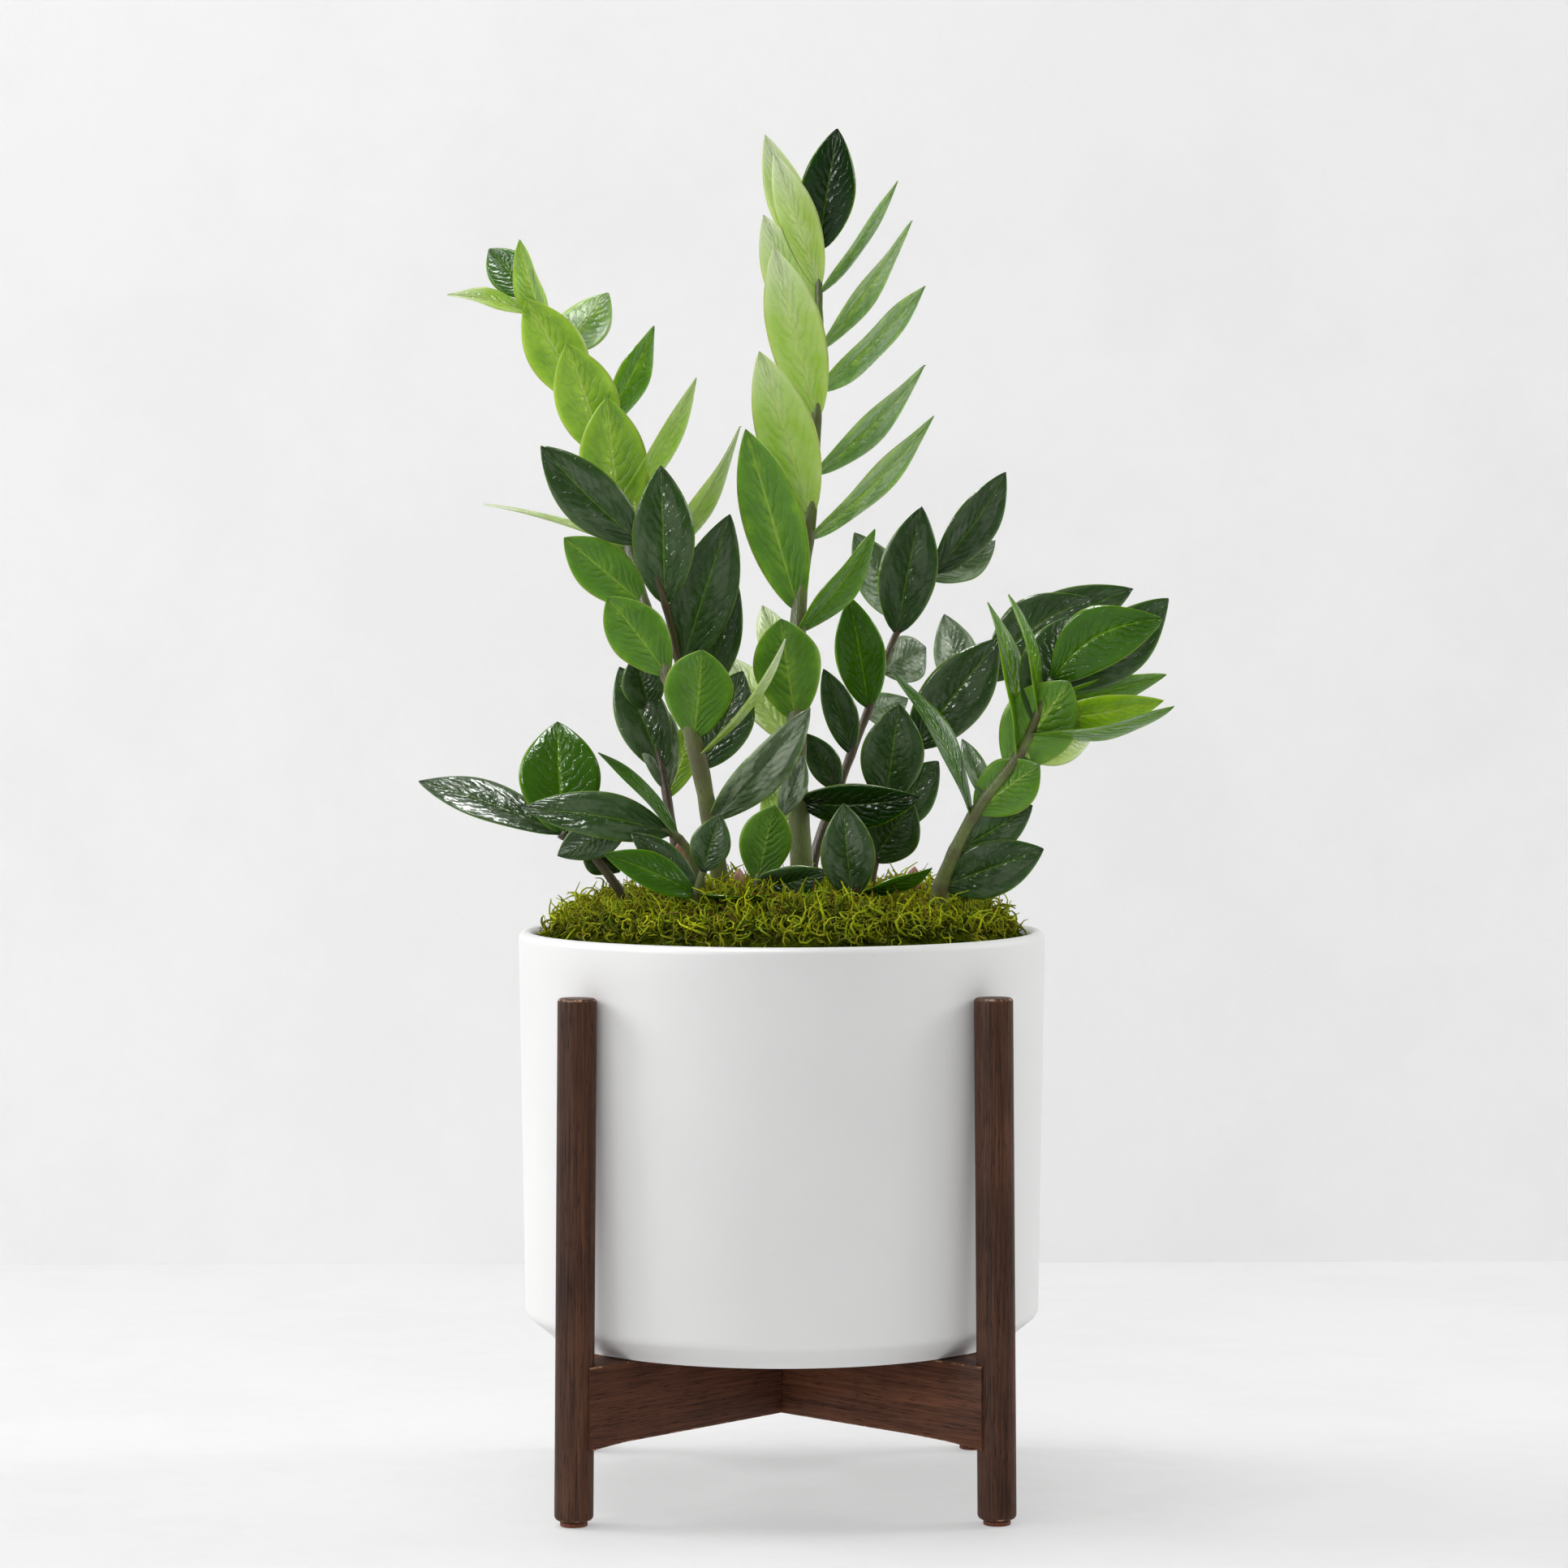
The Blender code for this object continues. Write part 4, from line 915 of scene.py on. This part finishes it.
def make_rail(node, across, material):
    """Rail with eased edges. across is the horizontal unit vector through its thickness."""
    mesh = frame["nodes"][node].data.copy()
    mesh.name = node + "_eased"
    mesh.materials.clear()
    mesh.materials.append(material)
    work = bmesh.new()
    work.from_mesh(mesh)
    bmesh.ops.remove_doubles(work, verts=work.verts, dist=MESH_WELD)
    bmesh.ops.dissolve_limit(work, angle_limit=math.radians(2), verts=work.verts, edges=work.edges)
    edges = [e for e in work.edges if is_long_edge(e, across)]
    bmesh.ops.bevel(work, geom=edges, offset=RAIL_ROUND, segments=3, affect="EDGES", profile=0.5,
                    clamp_overlap=True)
    bmesh.ops.triangulate(work, faces=[f for f in work.faces if len(f.verts) > 4])
    bmesh.ops.recalc_face_normals(work, faces=work.faces)
    wear = work.verts.layers.float.new("wear")
    for vertex in work.verts:
        narrow = [min(e.calc_length() for e in f.edges) < 0.7 * RAIL_ROUND for f in vertex.link_faces]
        vertex[wear] = 0.8 if all(narrow) else 0.0
    work.to_mesh(mesh)
    work.free()
    mesh.shade_smooth()
    mesh.set_sharp_from_angle(angle=math.radians(32))
    finish_piece(link(node + "_eased", mesh), slot_of(node), node)


def is_long_edge(edge, across):
    """True for the four long arrises of a rail."""
    if len(edge.link_faces) != 2 or edge.calc_face_angle(0) < math.radians(60):
        return False
    run_along = (edge.verts[1].co - edge.verts[0].co).normalized()
    at_side = all(abs(abs(v.co.dot(across)) - RAIL_HALF_THICKNESS) < 0.3 * MM for v in edge.verts)
    return at_side and abs(run_along.z) < 0.5


# ---------------------------------------------------------------- fronds

def foliage_point(point):
    return Vector(point) * MM + Vector((0, 0, RIM_Z))


def spline_point(points, place):
    """Point of a smooth run through the points; place counts points from 0."""
    last = len(points) - 1
    i = max(0, min(int(place), last - 1))
    u = place - i
    p1 = points[i]
    p2 = points[i + 1]
    p0 = points[i - 1] if i > 0 else p1 * 2 - p2
    p3 = points[i + 2] if i + 2 <= last else p2 * 2 - p1
    return 0.5 * (2 * p1 + (p2 - p0) * u + (2 * p0 - 5 * p1 + 4 * p2 - p3) * u ** 2
                  + (3 * p1 - p0 - 3 * p2 + p3) * u ** 3)


def blade_half_width(share, half):
    """Half width of a leaflet: a narrow stalk, a broad middle and a drawn-out tip."""
    oval = max(0.0, math.sin(math.pi * share ** 0.95)) ** (0.66 + 0.16 * share)
    return max(half * oval, STALK_HALF_WIDTH * (1 - share) ** 0.5)


def wobble(seed, channel):
    """Steady value from -1 to 1 for a leaflet."""
    return noise.noise(Vector((seed * 12.9898 + 0.37, channel * 7.233 + 0.61, 0.5))) * 1.6


def leaflet_rings(stem, leaflet, seed):
    """Rows of points of a leaflet: a ring over its upper face and back under, for each station."""
    place, reach, width, roll, arch = leaflet[:5]
    bow = leaflet[6] if len(leaflet) > 6 else 0.0
    root = spline_point(stem, place)
    reach = Vector(reach) * MM
    length = reach.length
    along = reach.normalized()
    front = Vector((0, -1, 0))
    face = Quaternion(along, math.radians(roll)) @ (front - along * front.dot(along)).normalized()
    across = along.cross(face)
    upward = across if across.z > 0 else -across
    half = width / 2 * MM
    twist = math.radians(9) * wobble(seed, 1)
    curl = 0.05 * wobble(seed, 2)
    wave, phase = 0.06 + 0.04 * wobble(seed, 3), 3 * wobble(seed, 4)
    fold = BLADE_FOLD * (1 + 0.5 * wobble(seed, 6))
    bow += 0.018 * wobble(seed, 7)
    rings = []
    for i in range(BLADE_STATIONS):
        share = (i / (BLADE_STATIONS - 1)) ** 0.9 * 0.992
        swell = length * math.sin(math.pi * share)
        middle = root + reach * share + face * (arch * swell) + upward * (bow * swell)
        middle += face * (curl * length * max(0.0, share - 0.55) ** 2 * 2.2)
        turn = Quaternion(along, twist * (share - 0.4))
        out, up = turn @ across, turn @ face
        side = blade_half_width(share, half)
        body = BLADE_THICKNESS / 2 * (1.0 if share > 0.06 else 1.5)
        top, under = [], []
        for t in BLADE_ACROSS:
            cup = side * (fold * abs(t) + (BLADE_CUP - fold) * t * t)
            ripple = wave * side * t * t * math.sin(9 * share + phase + (2.1 if t > 0 else 0.0))
            centre = middle + out * (side * t) + up * (cup + ripple)
            rib = math.exp(-(t / 0.09) ** 2) * min(1.0, 3 * (1 - share))
            wall = body * math.sqrt(max(0.0, 1 - t * t))
            top.append(centre + up * (wall - MIDRIB_GROOVE * rib))
            under.append(centre - up * (wall + MIDRIB_RIDGE * rib * (side / half)))
        rings.append(top + under[-2:0:-1])
    return rings, root + reach


def add_leaflet(work, layers, stem, leaflet, seed):
    """Add one closed leaflet to a mesh, with its "blade" map and its "leaf" look."""
    uv_layer, look_layer = layers
    rings, tip = leaflet_rings(stem, leaflet, seed)
    tone, bloom_and_sheen = LOOKS[leaflet[5]]
    tone = min(1.0, max(0.0, tone + 0.035 * wobble(seed, 5)))
    count = len(BLADE_ACROSS)
    size = len(rings[0])
    across = [(t + 1) / 2 for t in BLADE_ACROSS]
    across = across + across[-2:0:-1]
    rows = [[work.verts.new(p) for p in ring] for ring in rings]
    end = work.verts.new(tip)
    start = work.verts.new(sum(rings[0], Vector()) / size)

    def paint(face, marks, is_under):
        face.smooth = True
        for loop, (u, v) in zip(face.loops, marks):
            loop[uv_layer].uv = (u, v)
            loop[look_layer] = (tone, 1.0 if is_under else 0.0, bloom_and_sheen, 1.0)

    last = len(rows) - 1
    for i in range(last):
        v0, v1 = i / (last + 1), (i + 1) / (last + 1)
        for k in range(size):
            n = (k + 1) % size
            face = work.faces.new((rows[i][k], rows[i][n], rows[i + 1][n], rows[i + 1][k]))
            paint(face, ((across[k], v0), (across[n], v0), (across[n], v1), (across[k], v1)), k >= count - 1)
    for k in range(size):
        n = (k + 1) % size
        face = work.faces.new((rows[last][k], rows[last][n], end))
        paint(face, ((across[k], 0.97), (across[n], 0.97), (0.5, 1.0)), k >= count - 1)
        face = work.faces.new((rows[0][n], rows[0][k], start))
        paint(face, ((across[n], 0.0), (across[k], 0.0), (0.5, 0.0)), k >= count - 1)


def make_leaflets(name, frond, material, first_seed):
    """All leaflets of a frond as one piece."""
    stem = [foliage_point(p) for p in frond["stem"]]
    work = bmesh.new()
    layers = work.loops.layers.uv.new("blade"), work.loops.layers.float_color.new("leaf")
    for i, leaflet in enumerate(frond["leaflets"]):
        add_leaflet(work, layers, stem, leaflet, first_seed + i)
    if work.calc_volume(signed=True) < 0:
        bmesh.ops.reverse_faces(work, faces=work.faces)
    mesh = bpy.data.meshes.new(name + "_leaflets")
    work.to_mesh(mesh)
    work.free()
    mesh.materials.append(material)
    finish_piece(link(name + "_leaflets", mesh), slot_of(name), name)


def stem_radius(frond, place):
    base, tip = frond["radius"]
    share = place / (len(frond["stem"]) - 1)
    return (tip + (base - tip) * (1 - share) ** 1.5) * MM


def make_stem(name, frond, brown):
    """Tapering stem with a slight swelling and a darker ring where each leaflet joins."""
    points = [foliage_point(p) for p in frond["stem"]]
    last = len(points) - 1
    joints = [leaflet[0] for leaflet in frond["leaflets"]]
    count = round(last / STEM_STEP)
    work = bmesh.new()
    layer = work.loops.layers.float_color.new("stem")
    rows, marks = [], []
    for i in range(count + 1):
        place = last * i / count
        centre = spline_point(points, place)
        ahead = spline_point(points, min(place + 0.05, last)) - spline_point(points, max(place - 0.05, 0))
        turn = Vector((0, 0, 1)).rotation_difference(ahead.normalized())
        near = max(math.exp(-((place - joint) / NODE_REACH) ** 2) for joint in joints)
        radius = stem_radius(frond, place) * (1 + NODE_SWELL * near)
        ring = []
        for k in range(STEM_SIDES):
            angle = math.tau * k / STEM_SIDES
            spoke = turn @ Vector((math.cos(angle), math.sin(angle), 0))
            ring.append(work.verts.new(centre + spoke * radius))
        rows.append(ring)
        marks.append((place / last, brown, near, 1.0))
    for i in range(count):
        for k in range(STEM_SIDES):
            n = (k + 1) % STEM_SIDES
            face = work.faces.new((rows[i][k], rows[i][n], rows[i + 1][n], rows[i + 1][k]))
            face.smooth = True
            for loop, row in zip(face.loops, (i, i, i + 1, i + 1)):
                loop[layer] = marks[row]
    for ring, row in ((rows[0][::-1], 0), (rows[-1], count)):
        face = work.faces.new(ring)
        for loop in face.loops:
            loop[layer] = marks[row]
    mesh = bpy.data.meshes.new(name + "_stem")
    work.to_mesh(mesh)
    work.free()
    return mesh


BROWNNESS = {"frond_tall": 0.0, "frond_left_bright": 0.15, "frond_right_front": 0.2, "frond_young": 0.1,
             "frond_short_left": 0.5, "frond_centre_right": 0.5, "frond_low_centre": 0.5}


def make_frond(name, frond, seed):
    """Leaflets and stem of a frond: two pieces that stand for one node."""
    slot = slot_of(name)
    make_leaflets(name, frond, LEAF_SKINS[slot], seed)
    mesh = make_stem(name, frond, BROWNNESS.get(name, 0.9))
    mesh.materials.append(PETIOLE)
    finish_piece(link(name + "_stem", mesh), slot, name)


def make_sheath(name, frond, seed):
    """Pointed papery scale on its short stalk, as one piece."""
    stem = make_stem(name, frond, 0.0)
    work = bmesh.new()
    work.from_mesh(stem)
    layers = work.loops.layers.uv.new("blade"), work.loops.layers.float_color.new("leaf")
    points = [foliage_point(p) for p in frond["stem"]]
    for i, leaflet in enumerate(frond["leaflets"]):
        add_leaflet(work, layers, points, leaflet, seed + i)
    work.to_mesh(stem)
    work.free()
    stem.name = name + "_scale"
    stem.materials.append(SHEATH_PAPER)
    finish_piece(link(name + "_scale", stem), slot_of(name), name)


# ---------------------------------------------------------------- moss

def moss_top(x, y, radius):
    """Height of the moss over the rim: a cushion that drops steeply at its edge, with soft lumps."""
    share = min(1.0, math.hypot(x, y) / radius)
    crown = (MOSS_CROWN + MOSS_EDGE_BELOW_RIM) * (1 - share ** 5) - MOSS_EDGE_BELOW_RIM
    lump = noise.noise(Vector((x * 34, y * 34, 0.3))) + 0.5 * noise.noise(Vector((x * 90, y * 90, 4.1)))
    return crown + MOSS_LUMP * lump * (1 - share ** 6)


def make_moss_bed():
    """Closed cushion in the box of the moss node; the strands are scattered over it."""
    low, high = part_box("moss")
    radius = high.x - MOSS_GAP
    rings, around = 28, 96
    work = bmesh.new()
    bmesh.ops.create_circle(work, cap_ends=True, cap_tris=True, segments=around, radius=radius / rings)
    hub = min(work.verts, key=lambda v: v.co.length)
    first = sorted((v for v in work.verts if v is not hub), key=lambda v: math.atan2(v.co.y, v.co.x))
    rows = [first]
    for i in range(2, rings + 1):
        rows.append([work.verts.new(v.co * i) for v in first])
    wall = [work.verts.new((v.co.x, v.co.y, low.z)) for v in rows[-1]]
    for row in rows + [[hub]]:
        for vertex in row:
            vertex.co.z = RIM_Z + moss_top(vertex.co.x, vertex.co.y, radius)
    rows.append(wall)
    for inner, outer in zip(rows, rows[1:]):
        for k in range(around):
            n = (k + 1) % around
            work.faces.new((inner[k], outer[k], outer[n], inner[n]))
    work.faces.new(wall[::-1])
    bmesh.ops.recalc_face_normals(work, faces=work.faces)
    mesh = bpy.data.meshes.new("moss_bed")
    work.to_mesh(mesh)
    work.free()
    mesh.shade_smooth()
    mesh.materials.append(MOSS_BED)
    return link("moss_bed", mesh)


def make_strand_tree():
    """Geometry Nodes: curled strands scattered over the top of the moss bed."""
    tree = bpy.data.node_groups.new("moss_strands", "GeometryNodeTree")
    face = tree.interface
    face.new_socket("Bed", in_out="INPUT", socket_type="NodeSocketGeometry")
    for label, value in (("Density", 9.0e4), ("Curl Radius", 0.006), ("Rise", 0.006), ("Turns", 0.5),
                         ("Thickness", 0.0005), ("Tilt", 0.9), ("Reach", 0.11), ("Lowest", 0.2)):
        face.new_socket(label, in_out="INPUT", socket_type="NodeSocketFloat").default_value = value
    face.new_socket("Seed", in_out="INPUT", socket_type="NodeSocketInt").default_value = 1
    face.new_socket("Finish", in_out="INPUT", socket_type="NodeSocketMaterial")
    face.new_socket("Strands", in_out="OUTPUT", socket_type="NodeSocketGeometry")
    given = tree.nodes.new("NodeGroupInput").outputs
    position = tree.nodes.new("GeometryNodeInputPosition").outputs[0]
    x, y, height = new_node(tree, "ShaderNodeSeparateXYZ", {0: position}).outputs
    flat = new_node(tree, "ShaderNodeCombineXYZ", {"X": x, "Y": y}).outputs[0]
    out_from_axis = new_node(tree, "ShaderNodeVectorMath", {0: flat}, operation="LENGTH").outputs["Value"]
    is_high = new_node(tree, "FunctionNodeCompare", {0: height, 1: given["Lowest"]}, data_type="FLOAT",
                       operation="GREATER_THAN").outputs[0]
    is_inside = new_node(tree, "FunctionNodeCompare", {0: out_from_axis, 1: given["Reach"]},
                         data_type="FLOAT", operation="LESS_THAN").outputs[0]
    is_top = new_node(tree, "FunctionNodeBooleanMath", {0: is_high, 1: is_inside}, operation="AND").outputs[0]
    scatter = new_node(tree, "GeometryNodeDistributePointsOnFaces",
                       {"Mesh": given["Bed"], "Selection": is_top, "Density": given["Density"],
                        "Seed": given["Seed"]})
    tint = new_node(tree, "FunctionNodeRandomValue", {"Seed": plus(tree, given["Seed"], 7)},
                    data_type="FLOAT")
    clumps = noise_value(tree, position, 75.0, 2.0)
    shade = plus(tree, times(tree, tint.outputs[1], 0.55),
                  remap(tree, clumps, 0.36, 0.64, 0.0, 0.55))
    marked = new_node(tree, "GeometryNodeStoreNamedAttribute",
                      {"Geometry": scatter.outputs["Points"], "Name": "tint", "Value": shade},
                      data_type="FLOAT", domain="POINT")
    shapes = tree.nodes.new("GeometryNodeJoinGeometry")
    for turns, widen, lift in STRAND_SHAPES:
        radius = times(tree, given["Curl Radius"], widen)
        spiral = new_node(tree, "GeometryNodeCurveSpiral", {
            "Resolution": round(7 / max(turns, 0.7)),
            "Rotations": times(tree, given["Turns"], 2 * turns),
            "Start Radius": radius, "End Radius": times(tree, radius, 0.35),
            "Height": times(tree, given["Rise"], lift)})
        factor = tree.nodes.new("GeometryNodeSplineParameter").outputs["Factor"]
        noted = new_node(tree, "GeometryNodeStoreNamedAttribute",
                         {"Geometry": spiral.outputs[0], "Name": "along", "Value": factor},
                         data_type="FLOAT", domain="POINT")
        taper = times(tree, given["Thickness"],
                      minus(tree, 1.0, times(tree, factor, 0.75)))
        ring = new_node(tree, "GeometryNodeCurvePrimitiveCircle", {"Resolution": 3, "Radius": 1.0})
        strand = new_node(tree, "GeometryNodeCurveToMesh",
                          {"Curve": noted.outputs[0], "Scale": taper, "Profile Curve": ring.outputs[0],
                           "Fill Caps": True})
        inwards = new_node(tree, "ShaderNodeCombineXYZ", {"X": times(tree, radius, -0.8)})
        centred = new_node(tree, "GeometryNodeTransform",
                           {"Geometry": strand.outputs[0], "Translation": inwards.outputs[0]})
        held = new_node(tree, "GeometryNodeGeometryToInstance", {0: centred.outputs[0]})
        tree.links.new(held.outputs[0], shapes.inputs[0])
    lean = new_node(tree, "FunctionNodeRandomValue", {"Seed": plus(tree, given["Seed"], 11)},
                    data_type="FLOAT_VECTOR")
    lean.inputs[0].default_value = (-1, -1, -math.pi)
    lean.inputs[1].default_value = (1, 1, math.pi)
    tilts = new_node(tree, "ShaderNodeCombineXYZ", {"X": given["Tilt"], "Y": given["Tilt"], "Z": 1.0})
    scaled = new_node(tree, "ShaderNodeVectorMath", {0: lean.outputs[0], 1: tilts.outputs[0]},
                      operation="MULTIPLY")
    spin = new_node(tree, "FunctionNodeEulerToRotation", {0: scaled.outputs[0]})
    turn = new_node(tree, "FunctionNodeRotateRotation", {0: scatter.outputs["Rotation"], 1: spin.outputs[0]},
                    rotation_space="LOCAL")
    size = new_node(tree, "FunctionNodeRandomValue", {"Seed": plus(tree, given["Seed"], 13)},
                    data_type="FLOAT")
    size.inputs[2].default_value = 0.6
    size.inputs[3].default_value = 1.35
    placed = new_node(tree, "GeometryNodeInstanceOnPoints",
                      {"Points": marked.outputs[0], "Instance": shapes.outputs[0], "Pick Instance": True,
                       "Rotation": turn.outputs[0], "Scale": size.outputs[1]})
    real = new_node(tree, "GeometryNodeRealizeInstances", {0: placed.outputs[0]})
    smooth = new_node(tree, "GeometryNodeSetShadeSmooth", {"Geometry": real.outputs[0]})
    return give_out(tree, smooth, given["Finish"])


def make_strands(name, bed, material, values):
    """One set of strands over the bed as a plain mesh."""
    source = link(name + "_source", bed.data.copy())
    modifier = source.modifiers.new("strands", "NODES")
    modifier.node_group = STRANDS
    values = dict(values, Finish=material, Lowest=RIM_Z - STRANDS_FROM)
    set_inputs(modifier, values)
    piece = link(name, plain_mesh(source, name))
    finish_piece(piece, slot_of("moss"), "moss")


# ---------------------------------------------------------------- room, light and camera

def plane(name, corners, material):
    mesh = bpy.data.meshes.new(name)
    mesh.from_pydata(corners, [], [(0, 1, 2, 3)])
    mesh.materials.append(material)
    link(name, mesh)


def stage_material(name, albedo, glow):
    """Pale plaster; glow is the share of light that it gives back by itself."""
    material, tree, shader = new_material(name, Emission_Strength=glow / albedo)
    place = object_coordinates(tree)
    grain = noise_value(tree, place, 55.0, 5.0, 0.6)
    broad = noise_value(tree, place, 7.0, 4.0, 0.6)
    clean, dull, cloudy = [(albedo * share,) * 3 for share in (1.0, 0.97, 0.9)]
    colour = blend_colour(tree, grain, dull, clean)
    colour = blend_colour(tree, remap(tree, broad, 0.4, 0.65, 0.0, 0.3), colour, cloudy)
    tree.links.new(colour, shader["Emission Color"])
    surface(tree, shader, colour, remap(tree, grain, 0.3, 0.7, 0.7, 0.85), grain, 0.0006)
    return material


def open_from_behind(material):
    """Clear on its back, so that the plant can be looked at from behind the backdrop."""
    tree = material.node_tree
    clear = tree.nodes.new("ShaderNodeBsdfTransparent")
    back = tree.nodes.new("ShaderNodeNewGeometry").outputs["Backfacing"]
    mix = new_node(tree, "ShaderNodeMixShader", {0: back, 1: tree.nodes["Principled BSDF"].outputs[0],
                                                 2: clear.outputs[0]})
    tree.links.new(mix.outputs[0], tree.nodes["Material Output"].inputs["Surface"])
    return material


def area_light(name, place, target, width, height, watts, diffuse, glossy):
    lamp = bpy.data.lights.new(name, "AREA")
    lamp.shape = "RECTANGLE"
    lamp.size = width
    lamp.size_y = height
    lamp.energy = watts
    lamp_object = bpy.data.objects.new(name, lamp)
    bpy.context.scene.collection.objects.link(lamp_object)
    lamp_object.location = place
    lamp_object.rotation_euler = (Vector(target) - Vector(place)).to_track_quat("-Z", "Y").to_euler()
    lamp_object.visible_diffuse = diffuse
    lamp_object.visible_glossy = glossy


def make_room():
    floor = stage_material("pale_floor", FLOOR_ALBEDO, FLOOR_GLOW)
    wall = open_from_behind(stage_material("pale_wall", WALL_ALBEDO, WALL_GLOW))
    wide, half = FLOOR_HALF_WIDTH, WALL_HALF_WIDTH
    plane("floor", [(-wide, FLOOR_FRONT, 0), (wide, FLOOR_FRONT, 0), (wide, WALL_Y, 0), (-wide, WALL_Y, 0)],
          floor)
    plane("backdrop", [(-half, WALL_Y, 0), (half, WALL_Y, 0), (half, WALL_Y, WALL_TOP),
                       (-half, WALL_Y, WALL_TOP)], wall)


def make_light():
    world = bpy.data.worlds.new("soft_sky")
    bpy.context.scene.world = world
    world.use_nodes = True
    sky = world.node_tree.nodes["Background"]
    sky.inputs["Color"].default_value = (1.0, 1.0, 1.0, 1.0)
    is_gloss = world.node_tree.nodes.new("ShaderNodeLightPath").outputs["Is Glossy Ray"]
    strength = remap(world.node_tree, is_gloss, 0.0, 1.0, SKY_STRENGTH, SKY_GLOSS_STRENGTH)
    world.node_tree.links.new(strength, sky.inputs["Strength"])
    for name, lamp in LAMPS.items():
        area_light(name, *lamp)


def make_camera():
    lens = bpy.data.cameras.new("camera")
    lens.sensor_width = CAMERA_SENSOR
    lens.lens = CAMERA_LENS
    camera = bpy.data.objects.new("camera", lens)
    bpy.context.scene.collection.objects.link(camera)
    camera.location = CAMERA_PLACE
    camera.rotation_euler = (CAMERA_TILT, 0.0, -CAMERA_TO_RIGHT)
    bpy.context.scene.camera = camera


# ---------------------------------------------------------------- assembly

GLAZE = glaze_material()
QUARTER_TURN = math.radians(90)
LEG_WOOD = wood_material("leg_walnut", (0.0, QUARTER_TURN, 0.0), (0.022, 0.0085, 0.0045),
                         (0.115, 0.048, 0.026))
RAIL_WOODS = {
    "rail_lower_lap": wood_material("rail_walnut_light", (0.0, 0.0, QUARTER_TURN / 2),
                                    (0.036, 0.012, 0.006), (0.155, 0.058, 0.029)),
    "rail_upper_lap": wood_material("rail_walnut_dark", (0.0, 0.0, -QUARTER_TURN / 2),
                                    (0.028, 0.0095, 0.005), (0.125, 0.046, 0.024)),
}
DOWEL_WOOD = wood_material("dowel_beech", (0.0, 0.0, 0.0), (0.35, 0.22, 0.12), (0.55, 0.38, 0.22))
PAD_FELT = pad_material()
EARTH = earth_material()
MOSS_BED = moss_mat_material()
PETIOLE = petiole_material()
SHEATH_PAPER = sheath_material()
LEAF_SKINS = {
    "leaf_lime": leaf_material("leaf_skin_lime", 0.2, 0.15),
    "leaf_mid": leaf_material("leaf_skin_mid", 0.15, 0.08),
    "leaf_dark": leaf_material("leaf_skin_dark", 0.12, 0.03),
}

LEG_PLACES = {"front_left": (-1, -1), "front_right": (1, -1), "back_left": (-1, 1), "back_right": (1, 1)}

make_camera()
make_room()
make_light()
bpy.context.scene.view_settings.view_transform = "Standard"
make_pot()
for leg_place, (leg_x, leg_y) in LEG_PLACES.items():
    make_leg(leg_place, leg_x, leg_y)
    make_pad(leg_place)
    frame["nodes"]["dowel_" + leg_place].material_slots[0].material = DOWEL_WOOD
for rail_name, side in (("rail_lower_lap", 1), ("rail_upper_lap", -1)):
    make_rail(rail_name, Vector((1, side, 0)).normalized(), RAIL_WOODS[rail_name])
frame["nodes"]["soil"].material_slots[0].material = EARTH
leaflet_seed = 1
for frond_name, frond_row in FRONDS.items():
    maker = make_sheath if frond_name.startswith("sheath") else make_frond
    maker(frond_name, frond_row, leaflet_seed)
    leaflet_seed += len(frond_row["leaflets"])
STRANDS = make_strand_tree()
moss_bed = make_moss_bed()
for strand_name, (skin_name, root, low_tint, high_tint, strand_inputs) in MOSS_SETS.items():
    make_strands(strand_name, moss_bed, strand_material(skin_name, root, low_tint, high_tint), strand_inputs)
finish_piece(moss_bed, slot_of("moss"), "moss")
